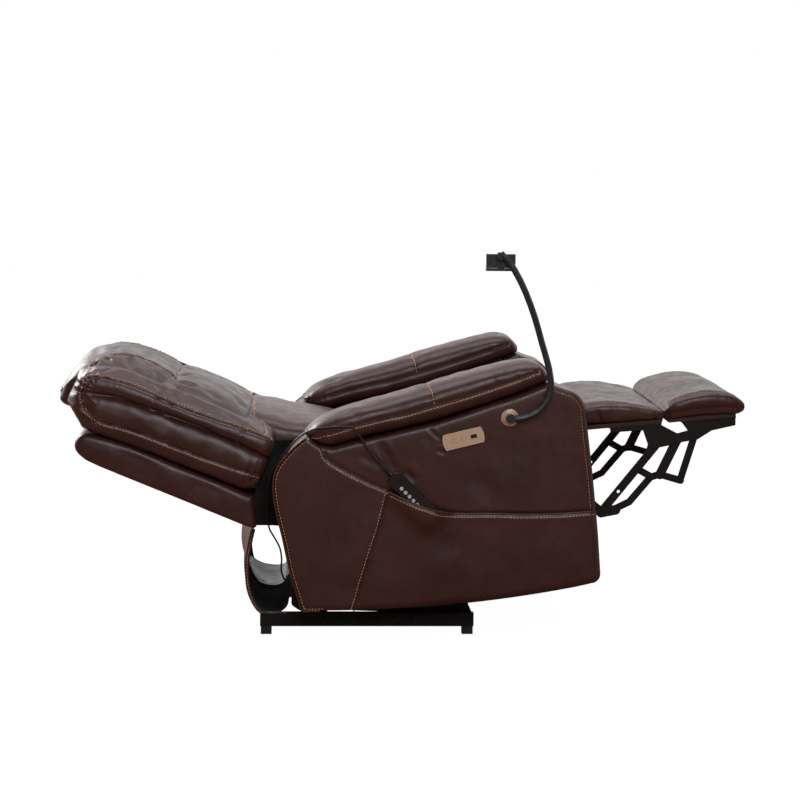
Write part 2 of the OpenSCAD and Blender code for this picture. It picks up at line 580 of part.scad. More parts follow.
module head_pillow() color("#3f2a28") in_back()
    pad([for (q = [[464, 0.9, 0.2, 0.72], [472, 0.96, 0.06, 0.9], [492, 0.99, 0, 0.99], [530, 1, 0, 1],
        [580, 1, 0, 1], [624, 1, 0, 0.98], [660, 1, -0.06, 0.93], [690, 0.99, -0.06, 0.83],
        [715, 0.97, -0.03, 0.68], [732, 0.95, -0.01, 0.5], [back_len, 0.92, 0.03, 0.36],
        [back_len + 4, 0.86, 0.1, 0.26]])
        [q[0], 293*q[1], pillow_low + 188*q[2], pillow_low + 188*q[3]]], e = 4, n = 32);
// Side roll of two lobes with a crease between them
module side_roll() {
    out = back_w/2;
    roll_in = 296;
    low = panel_n[1] + gap;
    crease = -62;
    function ring(x, k, lift) = [
        for (a = [-90:30:90]) [x, roll_in + (out - roll_in)*k*(0.42 + 0.58*cos(a)),
            (low + crease)/2 + ((crease - low)/2)*k*sin(a) + lift],
        for (a = [-60:30:90]) [x, roll_in + (out - roll_in)*k*(0.36 + 0.6*cos(a)),
            (crease + 8)/2 + ((8 - crease)/2)*k*sin(a) + lift],
        [x, roll_in, 6*k + lift], [x, roll_in, (low + crease)/2 + lift], [x, roll_in, low + (1 - k)*60 + lift]];
    skin([for (q = [[154, 0.75, 0], [162, 0.92, 0], [185, 1, 0], [250, 1, 0], [330, 1, 0], [410, 1, 0],
        [490, 1, 0], [560, 1, -2], [620, 1, -6], [655, 0.96, -12], [680, 0.86, -20], [694, 0.66, -30]])
        ring(q[0], q[1], q[2])]);
}
module side_roll_left() color("#402b29") in_back() mirror([0, 1, 0]) side_roll();
module side_roll_right() color("#402b29") in_back() side_roll();

// ---- footrest linkage, in the seat box, drawn with the footrest out ------------------------------------------
// Pivots
A0 = [841, 157];        // crank to long link
B0 = [881, 161];        // crank to drive link
AC = [950, 268];        // long link to cross link
BC = [988, 242];        // drive link to cross link
CD = [1011, 247];       // cross link to rear ottoman link
CE = [1068, 225];       // cross link to front ottoman link
AT = [1012, 336];       // long link to mid bracket
DT = [1067, 343];       // mid bracket, rear ottoman link and ottoman bracket
ET = [1117, 348];       // front ottoman link to ottoman bracket
// Layers of flat steel, from the outside in
layer_gap = link_t + 1;
board_y = foot_w/2 - 14;                        // half width of the footrest boards
layer0 = min(side_y - 4 - link_t, board_y + 2);
function layer(i) = layer0 - i*layer_gap;
module hole(p, y0, r = 0) pin(p, rivet_r + (r == 0 ? fit : r), y0 - 1, y0 + link_t + 1);

module footrest_crank() color("#171615") in_box() {
    both() {
        difference() {
            bar([crank_at, A0, B0], link_w + 6, layer(0), layer(0) + link_t);
            pin(crank_at, hinge_r + fit, layer(0) + 0.6, layer(0) + link_t + 1);
            pin((crank_at + A0)/2, 6, layer(0) - 1, layer(0) + link_t + 1);
        }
        pin(A0, rivet_r, layer(1), layer(0) + 1);
        pin(B0, rivet_r, layer(3), layer(0) + 1);
        pin(B0, rivet_r + 2.5, layer(3) + link_t + 0.4, layer(0) + 1);
    }
    pin(crank_at, 10, -layer(0) - 0.5, layer(0) + 0.5);
    // lever for the footrest rod
    difference() {
        bar([crank_at, foot_lever], 24, footrest_y - 4, footrest_y + 4);
        pin(foot_lever, 5 + fit, footrest_y - 5, footrest_y + 5);
    }
}
module long_links() color("#171615") in_box() both() {
    difference() {
        bar([A0, AT], link_w + 1, layer(1), layer(1) + link_t);
        hole(A0, layer(1));
        pin(A0 + (AC - A0)*0.48, 4.5, layer(1) - 1, layer(1) + link_t + 1);
    }
    pin(AC, rivet_r, layer(2), layer(1) + 1);
    pin(AT, rivet_r, layer(1) + 1, layer(0) + link_t);
}
module drive_links() color("#171615") in_box() both() difference() {
    bar([B0, B0 + [42, 16], BC], link_w - 2, layer(3), layer(3) + link_t);
    hole(B0, layer(3));
    hole(BC, layer(3), loose);
}
module cross_links() color("#171615") in_box() both() {
    difference() {
        bar([AC, BC, CD, CE], link_w - 2, layer(2), layer(2) + link_t);
        hole(AC, layer(2));
    }
    pin(BC, rivet_r, layer(3), layer(2) + 1);
    pin(CD, rivet_r, layer(2) + link_t - 1, layer(1) + link_t);
    pin(CE, rivet_r, layer(3), layer(2) + 1);
}
module rear_ottoman_links() color("#171615") in_box() both() difference() {
    bar([CD, DT], link_w + 4, layer(1), layer(1) + link_t);
    hole(CD, layer(1));
    hole(DT, layer(1), loose);
}
module front_ottoman_links() color("#171615") in_box() both() difference() {
    bar([CE, ET], link_w - 2, layer(3), layer(3) + link_t);
    hole(CE, layer(3));
    hole(ET, layer(3), loose);
}
// Boards and pads
mid_under = 389;                                // underside of the footrest boards
pad_from = 803;
mid_to = 1034;
ott_from = 1040;
ott_to = 1250;
flange_in = board_y - 20;                      // inner edge of the flanges screwed under the boards
flange_t = 3;
mid_flange = [AT[0] - 130, AT[0] + 12];
ott_flange = [ott_from + 40, ott_to - 18];
module mid_bracket() color("#171615") in_box() both() {
    difference() {
        plate(layer(0), layer(0) + link_t) polygon([[AT[0] - 28, AT[1] - 6], [AT[0] - 10, AT[1] - 14],
            [DT[0] + 8, DT[1] - 12], [DT[0] + 13, DT[1]], [DT[0] + 4, DT[1] + 12], [AT[0] + 12, mid_under - 4],
            [mid_flange[1], mid_under], [mid_flange[0], mid_under], [mid_flange[0], mid_under - 12],
            [AT[0] - 40, mid_under - 14]]);
        hole(AT, layer(0));
    }
    pin(DT, rivet_r, layer(2), layer(0) + 1);
    // flange screwed to the board
    translate([mid_flange[0], flange_in, mid_under - flange_t])
        cube([mid_flange[1] - mid_flange[0], max(board_y, layer(0) + link_t) - flange_in, flange_t]);
}
module ottoman_bracket() color("#171615") in_box() both() {
    difference() {
        plate(layer(2), layer(2) + link_t) polygon([[DT[0] - 12, DT[1] - 4], [DT[0] - 2, DT[1] - 13],
            [ET[0] + 6, ET[1] - 13], [ET[0] + 46, ET[1] + 8], [ott_to - 20, mid_under - 24],
            [ott_flange[1], mid_under], [ott_flange[0], mid_under], [ET[0] - 20, ET[1] + 14], [DT[0] - 2, DT[1] + 13]]);
        hole(DT, layer(2));
    }
    pin(ET, rivet_r, layer(3), layer(2) + 1);
    translate([ott_flange[0], flange_in, mid_under - flange_t])
        cube([ott_flange[1] - ott_flange[0], max(board_y, layer(2) + link_t) - flange_in, flange_t]);
}
module mid_board() color("#9a7b55") in_box()
    translate([pad_from + 14, -board_y, mid_under]) cube([mid_to - pad_from - 22, 2*board_y, board_t]);
module ottoman_board() color("#9a7b55") in_box()
    translate([ott_from + 6, -board_y, mid_under]) cube([ott_to - ott_from - 24, 2*board_y, board_t]);
board_top = mid_under + board_t + gap;
module mid_pad() color("#3f2a28") in_box() {
    b = foot_w/2;
    pad([for (q = [[0, 0.94, 20, 50], [0.03, 0.975, 6, 62], [0.1, 0.99, 0, 69], [0.3, 1, 0, 71], [0.5, 1, 0, 67],
        [0.7, 1, 0, 58], [0.86, 0.99, 0, 45], [0.95, 0.98, 1, 33], [1, 0.95, 4, 20]])
        [pad_from + (mid_to - pad_from)*q[0], b*q[1], board_top + q[2], board_top + q[3]]], e = 4.5, n = 28);
}
module ottoman_pad() color("#3f2a28") in_box() {
    b = foot_w/2 + 4;
    pad([for (q = [[0, 0.95, 6, 26], [0.05, 0.985, 1, 45], [0.14, 1, 0, 60], [0.3, 1, 0, 69], [0.5, 1, 0, 73],
        [0.7, 1, 0, 70], [0.85, 1, 0, 60], [0.93, 0.99, 1, 48], [0.98, 0.975, 5, 34], [1, 0.95, 11, 24]])
        [ott_from + (ott_to - ott_from)*q[0], b*q[1], board_top + q[2], board_top + q[3]]], e = 4.5, n = 28);
}

// ---- gooseneck phone holder -------------------------------------------------------------------------------
rosette_room = [364, 623];
rosette_at = to_box(rosette_room);
neck_y = -arm_out - 25;
module neck_rosette() color("#b8906b") in_box() translate([rosette_at[0], -arm_out, rosette_at[1]])
    rotate([90, 0, 0]) {
        cylinder(d = 46, h = 4);
        translate([0, 0, 4]) cylinder(r1 = 22, r2 = 15, h = 4);
        cylinder(r = 5, h = 14);
    }
neck_route = [[380, neck_y, 623], [398, neck_y, 626], [417, neck_y, 632], [435, neck_y, 643],
    [450, neck_y, 658], [462, neck_y, 676], [468, neck_y, 698], [468, neck_y, 724], [462, neck_y, 758],
    [452, neck_y, 792], [441, neck_y - 2, 826], [431, neck_y - 4, 860], [420, neck_y - 7, 894],
    [408, neck_y - 9, 926], [395, neck_y - 11, 957], [380, neck_y - 12, 988], [364, neck_y - 12, 1016],
    [346, neck_y - 12, 1040], [328, neck_y - 12, 1058]];
module gooseneck() color("#14161a") {
    difference() {
        translate([rosette_room[0], -arm_out - 9, rosette_room[1]]) rotate([90, 0, 0])
            cylinder(r = 12, h = 26);
        translate([rosette_room[0], -arm_out + 1, rosette_room[1]]) rotate([90, 0, 0])
            cylinder(r = 5 + fit, h = 16);
    }
    translate([rosette_room[0] + 6, neck_y, rosette_room[1]]) rotate([0, 90, 0]) cylinder(r = 9.5, h = 14);
    tube_along(neck_route, neck_d/2, 12);
    // ferrule at the tip, with the stud that the holder swivels on
    translate([328.2, neck_y - 12, 1040]) cylinder(r = 9, h = 20);
    translate([swivel[0], neck_y - 12, swivel[1]]) rotate([-90, 0, 0]) cylinder(r = 4, h = 16);
}
swivel = [330, 1048];
holder_x = swivel[0];
holder_z = 1043;
holder_y = neck_y - 2;
module phone_plate() color("#101113") {
    difference() {
        translate([holder_x - 38, holder_y, holder_z - 24]) cube([76, 12, 36]);
        translate([holder_x - 30, holder_y + 8, holder_z - 25]) cube([60, 5, 38]);
        translate([swivel[0], holder_y - 1, swivel[1]]) rotate([-90, 0, 0]) cylinder(r = 4 + fit, h = 9);
        // slot for the jaw's stem
        translate([holder_x - 8.2, holder_y + 3, holder_z - 25]) cube([16.4, 3.4, 25]);
    }
}
module phone_jaw() color("#101113") {
    translate([holder_x - 38, holder_y, holder_z - 32]) cube([76, 22, 7]);
    translate([holder_x - 8, holder_y + 3.1, holder_z - 26]) cube([16, 3.2, 22]);
}

base_frame();
foot_glides();
lift_arm_frame();
lift_control_links();
lift_motor();
lift_rod();
side_plate_left();
side_plate_right();
cross_rails();
seat_springs();
seat_cushion();
arm_panel_left();
arm_panel_right();
arm_pad_left();
arm_pad_right();
side_pocket();
control_plate();
plate_gasket();
plate_button_1();
plate_button_2();
usb_socket();
power_supply();
cord_connector();
rear_flap();
recline_motor();
recline_rod();
footrest_motor();
footrest_rod();
back_frame();
outer_back_panel();
head_pillow();
mid_pillow();
lumbar_pad();
side_roll_left();
side_roll_right();
footrest_crank();
long_links();
drive_links();
cross_links();
rear_ottoman_links();
front_ottoman_links();
mid_bracket();
ottoman_bracket();
mid_board();
mid_pad();
ottoman_board();
ottoman_pad();
neck_rosette();
gooseneck();
phone_plate();
phone_jaw();
hand_control();
remote_button_1();
remote_button_2();
remote_button_3();
remote_button_4();
remote_button_5();
remote_cord();
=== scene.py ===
"""Lift recliner chair, shown reclined with its footrest out: leather covers, seams, stitches, metal and
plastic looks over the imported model. Lengths are in metres, in the model's own frame. What is written in
millimetres says so, or is multiplied by MM."""
import json
import math
import bpy
import bmesh
import numpy as np
from mathutils import Matrix, Vector
from mathutils.bvhtree import BVHTree
from mathutils.geometry import delaunay_2d_cdt


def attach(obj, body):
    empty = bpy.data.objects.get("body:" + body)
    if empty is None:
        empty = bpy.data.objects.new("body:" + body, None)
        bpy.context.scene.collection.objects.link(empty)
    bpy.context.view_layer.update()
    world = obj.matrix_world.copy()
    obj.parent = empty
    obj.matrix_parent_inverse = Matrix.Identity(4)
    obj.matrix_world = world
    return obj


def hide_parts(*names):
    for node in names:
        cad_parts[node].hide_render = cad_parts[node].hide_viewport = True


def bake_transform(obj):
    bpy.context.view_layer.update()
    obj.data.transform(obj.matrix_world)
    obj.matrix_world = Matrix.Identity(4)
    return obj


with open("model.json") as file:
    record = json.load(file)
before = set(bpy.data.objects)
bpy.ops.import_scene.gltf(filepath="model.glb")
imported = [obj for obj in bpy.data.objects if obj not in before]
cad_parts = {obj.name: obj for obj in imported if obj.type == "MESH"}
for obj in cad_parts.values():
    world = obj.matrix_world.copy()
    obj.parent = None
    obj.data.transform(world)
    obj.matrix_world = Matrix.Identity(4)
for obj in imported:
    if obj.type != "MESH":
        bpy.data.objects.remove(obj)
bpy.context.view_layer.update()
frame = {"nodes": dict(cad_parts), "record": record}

MM = 0.001
BOX_TILT = math.radians(5.4)        # the seat box leans back by this
BACK_ANGLE = math.radians(22.5)     # the back rest's angle above level
BOX_AT = (-0.180, 0.100)            # the seat box's origin in the room, along x and z
HINGE_BOX = (0.112, 0.391)          # the back's hinge in the seat box

# ---- camera, fitted to the photograph's arms, base and footrest ----
CAMERA_AT = (-0.23036, -5.81929, 1.34977)
CAMERA_YAW, CAMERA_PITCH, CAMERA_ROLL = (math.radians(a) for a in (3.2363, 7.2260, 0.7707))
LENS = 92.79


def add_camera():
    """The photograph's camera."""
    yaw, pitch, roll = CAMERA_YAW, CAMERA_PITCH, CAMERA_ROLL
    forward = Vector((math.sin(yaw) * math.cos(pitch), math.cos(yaw) * math.cos(pitch), -math.sin(pitch)))
    right = Vector((math.cos(yaw), -math.sin(yaw), 0))
    up = right.cross(forward)
    r = right * math.cos(roll) + up * math.sin(roll)
    u = -right * math.sin(roll) + up * math.cos(roll)
    data = bpy.data.cameras.new("camera")
    data.lens = LENS
    data.sensor_width = 36
    cam = bpy.data.objects.new("camera", data)
    bpy.context.scene.collection.objects.link(cam)
    rows = Matrix((r, u, -forward)).transposed().to_4x4()
    cam.matrix_world = Matrix.Translation(CAMERA_AT) @ rows
    bpy.context.scene.camera = cam


add_camera()
bpy.context.scene.view_settings.view_transform = "Standard"


# ---- frames of the seat box and of the back ----
def room(x, y, z):
    """Seat box coordinates to the room's."""
    c, s = math.cos(BOX_TILT), math.sin(BOX_TILT)
    x, y, z = np.broadcast_arrays(*(np.asarray(v, float) for v in (x, y, z)))
    return np.stack([BOX_AT[0] + x * c - z * s, y, BOX_AT[1] + x * s + z * c], -1)


def unroom(p):
    """Room coordinates to the seat box's."""
    c, s = math.cos(BOX_TILT), math.sin(BOX_TILT)
    p = np.asarray(p, float)
    dx, dz = p[..., 0] - BOX_AT[0], p[..., 2] - BOX_AT[1]
    return np.stack([dx * c + dz * s, p[..., 1], -dx * s + dz * c], -1)


HINGE = room(HINGE_BOX[0], 0, HINGE_BOX[1])


def back(s, y, n):
    """Back rest coordinates (along it from the hinge, across, square to it) to the room's."""
    ca, sa = math.cos(BACK_ANGLE), math.sin(BACK_ANGLE)
    s, y, n = np.broadcast_arrays(*(np.asarray(v, float) for v in (s, y, n)))
    return np.stack([HINGE[0] - s * ca + n * sa, y, HINGE[2] + s * sa + n * ca], -1)


# ---- curves ----
def run_along(p):
    """How far along a polyline each of its points lies."""
    return np.r_[0, np.cumsum(np.linalg.norm(np.diff(p, axis=0), axis=1))]


def resample(p, count, endpoint=False):
    """count points, evenly spaced, on a polyline."""
    run = run_along(p)
    goal = np.linspace(0, run[-1], count, endpoint=endpoint)
    return np.stack([np.interp(goal, run, p[:, k]) for k in range(p.shape[1])], -1)


def spline(points, count, closed=False):
    """count points, even by arc length, on a smooth curve through the given ones."""
    p = np.asarray(points, float)
    n = len(p)
    spans = n if closed else n - 1
    at = (lambda i: p[i % n]) if closed else (lambda i: p[min(max(i, 0), n - 1)])
    t = np.linspace(0, 1, 24, endpoint=False)[:, None]
    fine = []
    for i in range(spans):
        a, b, c, d = at(i - 1), at(i), at(i + 1), at(i + 2)
        square, cube = 2 * a - 5 * b + 4 * c - d, 3 * b - a - 3 * c + d
        fine.append(0.5 * (2 * b + (c - a) * t + square * t**2 + cube * t**3))
    return resample(np.concatenate(fine + [at(spans)[None]]), count, not closed)


def even(points, step, closed=False):
    """The polyline resampled at about step."""
    p = np.asarray(points, float)
    if closed:
        p = np.concatenate([p, p[:1]])
    count = max(int(round(run_along(p)[-1] / step)), 2)
    return resample(p, count + (not closed), not closed)


def length_of(points):
    """The length of a polyline."""
    return np.linalg.norm(np.diff(np.asarray(points, float), axis=0), axis=1).sum()


def smooth_line(points, step=0.006):
    """A smooth curve through the points, with about that step between its own."""
    return spline(points, max(int(length_of(points) / step), 4))


def arc(cx, cz, r, a, b, count, rz=None):
    """Points on a round or oval arc from a to b degrees."""
    turns = np.radians(np.linspace(a, b, count))
    return [(cx + r * math.cos(t), cz + (rz or r) * math.sin(t)) for t in turns]


def squircle(count, power, turn=0.0):
    """Places across and up of points round a square with soft corners."""
    a = np.linspace(0, 2 * math.pi, count, endpoint=False) + turn
    c, s = np.cos(a), np.sin(a)
    return np.sign(c) * np.abs(c) ** (2 / power), np.sign(s) * np.abs(s) ** (2 / power)


def near(points, line):
    """Distance from each point to a polyline, and the run along it of the nearest place."""
    p = np.asarray(points, float)
    best = np.full(len(p), 1e9)
    run = np.zeros(len(p))
    done = 0.0
    for a, b in zip(line[:-1], line[1:]):
        ab = b - a
        length = np.linalg.norm(ab)
        if length < 1e-9:
            continue
        t = np.clip((p - a) @ ab / length**2, 0, 1)
        d = np.linalg.norm(p - a - t[:, None] * ab, axis=1)
        hit = d < best
        best[hit] = d[hit]
        run[hit] = done + t[hit] * length
        done += length
    return best, run


def waves(p, size, seed, count=9):
    """A smooth random field between about -1 and 1 with features of that size."""
    rng = np.random.default_rng(seed)
    k = rng.normal(size=(count, p.shape[1]))
    k *= (2 * math.pi / size) * rng.uniform(0.6, 1.4, (count, 1)) / np.linalg.norm(k, axis=1, keepdims=True)
    phase = rng.uniform(0, 2 * math.pi, count)
    return np.sin(p @ k.T + phase).sum(axis=1) / math.sqrt(count)


def waved(p, height, size, seed, fine=0.0007, fine_size=0.08):
    """The large and small waves of leather that gives a little."""
    return height * waves(p, size, seed) + fine * waves(p, fine_size, seed + 1)


def ramp(x, lo, hi):
    """0 below lo, 1 above hi, and soft between them."""
    t = np.clip((np.asarray(x, float) - lo) / (hi - lo), 0, 1)
    return t * t * (3 - 2 * t)


# ---- shells: vertices, faces and their material numbers, kept until a piece is made ----
THREAD_R, FINE_THREAD = 0.0012, 0.0007


class Shell:
    def __init__(self, verts, faces):
        self.v = np.asarray(verts, float)
        self.f = [tuple(f) for f in faces]
        self.m = [0] * len(self.f)

    def add(self, other, mat=None):
        base = len(self.v)
        self.v = np.concatenate([self.v, other.v])
        self.f += [tuple(i + base for i in f) for f in other.f]
        self.m += other.m if mat is None else [mat] * len(other.f)
        return self

    def normals(self):
        out = np.zeros_like(self.v)
        # a triangle's normal comes from two sides, a quad's from its diagonals
        for (a, b), (c, d), size in (((0, 1), (0, 2), 3), ((0, 2), (1, 3), 4)):
            f = np.array([q for q in self.f if len(q) == size], int)
            if len(f):
                n = np.cross(self.v[f[:, b]] - self.v[f[:, a]], self.v[f[:, d]] - self.v[f[:, c]])
                for k in range(size):
                    np.add.at(out, f[:, k], n)
        return out / np.maximum(np.linalg.norm(out, axis=1, keepdims=True), 1e-12)

    def settle(self, height=0.0):
        """Move the surface out by a height at each vertex, and keep it for what is sewn on."""
        self.v = self.v + self.normals() * np.reshape(height, (-1, 1))
        self.surface = BVHTree.FromPolygons([Vector(p) for p in self.v], self.f)
        return self

    def stitch(self, line, r=THREAD_R):
        """Sew a row of stitches along a line on the kept surface."""
        return self.add(stitches(self.surface, line, r), 1)

    def pipe(self, line, r, lift=0.0):
        """Add a thin piped edge along a line on the kept surface."""
        return self.add(tube(on_surface(self.surface, line, lift)[0], r, 7))

    def to(self, place_in):
        """The shell, taken from the seat box's or the back's coordinates to the room's."""
        self.v = place_in(*self.v.T)
        return self

    def mirrored(self):
        out = Shell(self.v * (1, -1, 1), [f[::-1] for f in self.f])
        out.m = list(self.m)
        return out


def quads(rows, cols, closed=False):
    """Faces over rows of points, closed or open across the columns."""
    return [(i * cols + j, i * cols + (j + 1) % cols, (i + 1) * cols + (j + 1) % cols, (i + 1) * cols + j)
            for i in range(rows - 1) for j in range(cols if closed else cols - 1)]


def loft(rings):
    """A closed skin over an array of rings [station, point, xyz], with a point at each end."""
    rings = np.asarray(rings, float)
    n, m = rings.shape[:2]
    faces = quads(n, m, closed=True)
    for j in range(m):
        k = (j + 1) % m
        faces.append((n * m, k, j))
        faces.append((n * m + 1, (n - 1) * m + j, (n - 1) * m + k))
    ends = [rings[0].mean(axis=0), rings[-1].mean(axis=0)]
    shell = Shell(np.concatenate([rings.reshape(-1, 3), ends]), faces)
    if volume(shell) < 0:
        shell.f = [f[::-1] for f in shell.f]
    return shell


def volume(shell):
    """Six times what a closed shell holds, below zero where its faces look inwards."""
    return sum(np.dot(shell.v[f[0]], np.cross(shell.v[f[i]], shell.v[f[i + 1]]))
               for f in shell.f for i in range(1, len(f) - 1))


def tube(line, radius, sides=8):
    """A round tube along a polyline."""
    p = np.asarray(line, float)
    p = p[np.r_[True, np.linalg.norm(np.diff(p, axis=0), axis=1) > 1e-5]]
    d = np.gradient(p, axis=0)
    d /= np.maximum(np.linalg.norm(d, axis=1, keepdims=True), 1e-9)
    u = np.cross(d[0], (0.0, 0.0, 1.0) if abs(d[0][2]) < 0.9 else (1.0, 0.0, 0.0))
    a = np.linspace(0, 2 * math.pi, sides, endpoint=False)[:, None]
    rings = []
    for at, way in zip(p, d):
        u = u - way * np.dot(u, way)
        u /= np.linalg.norm(u)
        rings.append(at + radius * (np.cos(a) * u + np.sin(a) * np.cross(way, u)))
    return loft(rings)


def on_surface(tree, line, lift=0.0):
    """The line moved to the nearest place on a surface, and the normals there."""
    places, normals = [], []
    for p in line:
        q, n, _, _ = tree.find_nearest(Vector(p))
        places.append(np.array(q + n * lift))
        normals.append(np.array(n))
    return np.array(places), np.array(normals)


STITCH, PITCH, THREAD_LIFT, STITCH_SIDES = 0.0062, 0.0088, 0.0004, 6
# along the stitch, share of the thread's radius, and how far its ends dip into the leather
STITCH_RINGS = ((-0.5, 0.35, -0.5), (-0.38, 1.0, 0.0), (0.38, 1.0, 0.0), (0.5, 0.35, -0.5))
STITCH_FACES = quads(4, STITCH_SIDES, closed=True) + [(5, 4, 3, 2, 1, 0), (18, 19, 20, 21, 22, 23)]


def stitches(surface, line, r):
    """A row of small thread stitches along a line on a surface."""
    places, normals = on_surface(surface, even(line, PITCH), THREAD_LIFT)
    verts, faces = [], []
    a = np.linspace(0, 2 * math.pi, STITCH_SIDES, endpoint=False)[:, None]
    for p, n, t in zip(places, normals, np.gradient(places, axis=0)):
        size = np.linalg.norm(t)
        if size < 1e-9:
            continue
        t = t / size
        u = np.cross(n, t)
        u /= max(np.linalg.norm(u), 1e-9)
        w = np.cross(t, u)
        faces += [tuple(len(verts) + i for i in f) for f in STITCH_FACES]
        for along, wide, dip in STITCH_RINGS:
            verts.extend(p + t * along * STITCH + w * dip * r + r * wide * (np.cos(a) * u + np.sin(a) * w))
    return Shell(verts, faces)


def groove(p, line, depth, width, bulge=0.0, reach=0.014):
    """Height to add round a seam: a groove, and a soft swell beside it."""
    d, _ = near(p, line)
    return bulge * (d / reach) * np.exp(1 - d / reach) * (d < 8 * reach) - depth * np.exp(-(d / width) ** 2)


def puckers(p, line, height, pitch, reach, seed):
    """Height to add for the small gathers square to a seam."""
    d, run = near(p, line)
    rng = np.random.default_rng(seed)
    wobble = sum(rng.uniform(0.15, 0.5) * np.sin(run / pitch * rng.uniform(0.4, 1.7) + rng.uniform(0, 6))
                 for _ in range(3))
    strength = 0.55 + 0.45 * np.sin(run / pitch * 0.9 + rng.uniform(0, 6))
    return height * strength * np.exp(-(d / reach) ** 1.3) * np.sin(2 * math.pi * run / pitch + 2.2 * wobble)


def folds(p, rows):
    """Height to add for soft creases that fade at both ends: rows of from, to, depth and width in mm."""
    h = 0.0
    for row in rows:
        a, b, depth, width = (np.array(value) * MM for value in row)
        t = (p - a) @ (b - a) / ((b - a) @ (b - a))
        d = np.linalg.norm(p - a - np.clip(t, 0, 1)[:, None] * (b - a), axis=1)
        fade = np.clip(np.minimum(t, 1 - t) * 3 + 0.35, 0, 1)
        h = h - depth * fade * (np.exp(-(d / width) ** 2) - 0.45 * np.exp(-((d - 1.8 * width) / width) ** 2))
    return h


# ---- materials ----
class Nodes:
    """A node tree that is wired as it is built: an input takes a value or another node's output."""

    def __init__(self, owner):
        owner.use_nodes = True
        self.nodes = owner.node_tree.nodes
        self.links = owner.node_tree.links

    def feed(self, node, inputs):
        for key, value in inputs.items():
            if isinstance(value, bpy.types.NodeSocket):
                self.links.new(value, node.inputs[key])
            else:
                node.inputs[key].default_value = value

    def add(self, kind, inputs, out, **settings):
        """A new node's output of that name."""
        node = self.nodes.new("ShaderNode" + kind)
        for key, value in settings.items():
            setattr(node, key, value)
        self.feed(node, inputs)
        return node.outputs[out]

    def spread(self, source, lo, hi, a, b):
        inputs = {"Value": source, "From Min": lo, "From Max": hi, "To Min": a, "To Max": b}
        return self.add("MapRange", inputs, "Result")

    def math(self, operation, a, b):
        return self.add("Math", {0: a, 1: b}, 0, operation=operation, use_clamp=True)

    def mix(self, share, a, b):
        return self.add("MixShader", {"Fac": share, 1: a, 2: b}, "Shader")

    def rays(self, *kinds):
        """Whether a ray is one of these kinds."""
        seen = [self.add("LightPath", {}, "Is %s Ray" % kind) for kind in kinds]
        return seen[0] if len(seen) == 1 else self.math("ADD", *seen)


class Look(Nodes):
    """A material's nodes, built one after another."""

    def __init__(self, name, color, roughness, metallic=0.0, specular=0.5):
        self.mat = bpy.data.materials.new(name)
        super().__init__(self.mat)
        self.shader = self.nodes["Principled BSDF"]
        self.feed(self.shader, {"Base Color": (*color, 1), "Roughness": roughness, "Metallic": metallic,
                                "Specular IOR Level": specular})
        self.coord = self.add("TexCoord", {}, "Object")
        self.bump = None

    def noise(self, scale, detail=3.0, roughness=0.5, stretch=None):
        inputs = {"Scale": scale, "Detail": detail, "Roughness": roughness, "Vector": self.coord}
        if stretch:
            inputs["Vector"] = self.add("Mapping", {"Scale": stretch, "Vector": self.coord}, "Vector")
        return self.add("TexNoise", inputs, "Fac")

    def cells(self, scale):
        inputs = {"Scale": scale, "Vector": self.coord}
        return self.add("TexVoronoi", inputs, "Distance", feature="DISTANCE_TO_EDGE")

    def tint(self, source, *stops):
        """Colour by the source: pairs of a place on it and a colour."""
        node = self.nodes.new("ShaderNodeValToRGB")
        while len(node.color_ramp.elements) < len(stops):
            node.color_ramp.elements.new(0.5)
        for element, (at, color) in zip(node.color_ramp.elements, stops):
            element.position = at
            element.color = (*color, 1)
        self.feed(node, {"Fac": source})
        self.feed(self.shader, {"Base Color": node.outputs["Color"]})

    def rough(self, source, lo, hi):
        self.feed(self.shader, {"Roughness": self.spread(source, 0.3, 0.7, lo, hi)})

    def relief(self, source, distance, strength):
        inputs = {"Strength": strength, "Distance": distance, "Height": source}
        if self.bump:
            inputs["Normal"] = self.bump
        self.bump = self.add("Bump", inputs, "Normal")
        self.feed(self.shader, {"Normal": self.bump})

    def soften_edges(self, radius):
        self.bump = self.add("Bevel", {"Radius": radius}, "Normal", samples=4)
        self.feed(self.shader, {"Normal": self.bump})


def leather(name, dark, mid, light, rough):
    look = Look(name, mid, 0.42, specular=0.55)
    look.tint(look.noise(7.0, 4.0, 0.6), (0.32, dark), (0.52, mid), (0.72, light))
    look.rough(look.noise(38.0, 3.0, 0.55), *rough)
    look.relief(look.noise(26.0), 0.0011, 0.5)
    look.relief(look.cells(420.0), 0.00035, 0.5)
    look.relief(look.noise(900.0, 2.0), 0.0002, 0.35)
    return look.mat


def steel(name, color, rough, metallic=0.0, scale=240.0, edge=0.0012):
    look = Look(name, color, rough, metallic, specular=0.3)
    look.soften_edges(edge)
    light = tuple(min(c * 1.4 + 0.002, 1) for c in color)
    look.tint(look.noise(18.0, 5.0, 0.65), (0.3, color), (0.75, light))
    look.rough(look.noise(55.0, 4.0, 0.6), rough - 0.06, rough + 0.1)
    look.relief(look.noise(scale), 0.00025, 0.35)
    return look.mat


def brushed(name, color, rough, stretch, metallic=1.0):
    look = Look(name, color, rough, metallic)
    look.soften_edges(0.0008)
    grain = look.noise(900.0, 2.0, 0.6, stretch)
    look.tint(grain, (0.25, tuple(c * 0.8 for c in color)), (0.75, color))
    look.rough(grain, rough - 0.07, rough + 0.08)
    look.relief(grain, 0.0001, 0.4)
    return look.mat


def plastic(name, color, rough, grain=700.0, depth=0.00012, edge=0.0008):
    look = Look(name, color, rough)
    look.soften_edges(edge)
    light = tuple(min(c * 1.35 + 0.003, 1) for c in color)
    look.tint(look.noise(25.0, 4.0, 0.6), (0.3, color), (0.7, light))
    look.rough(look.noise(80.0), rough - 0.05, rough + 0.06)
    look.relief(look.noise(grain, 2.0), depth, 0.5)
    return look.mat


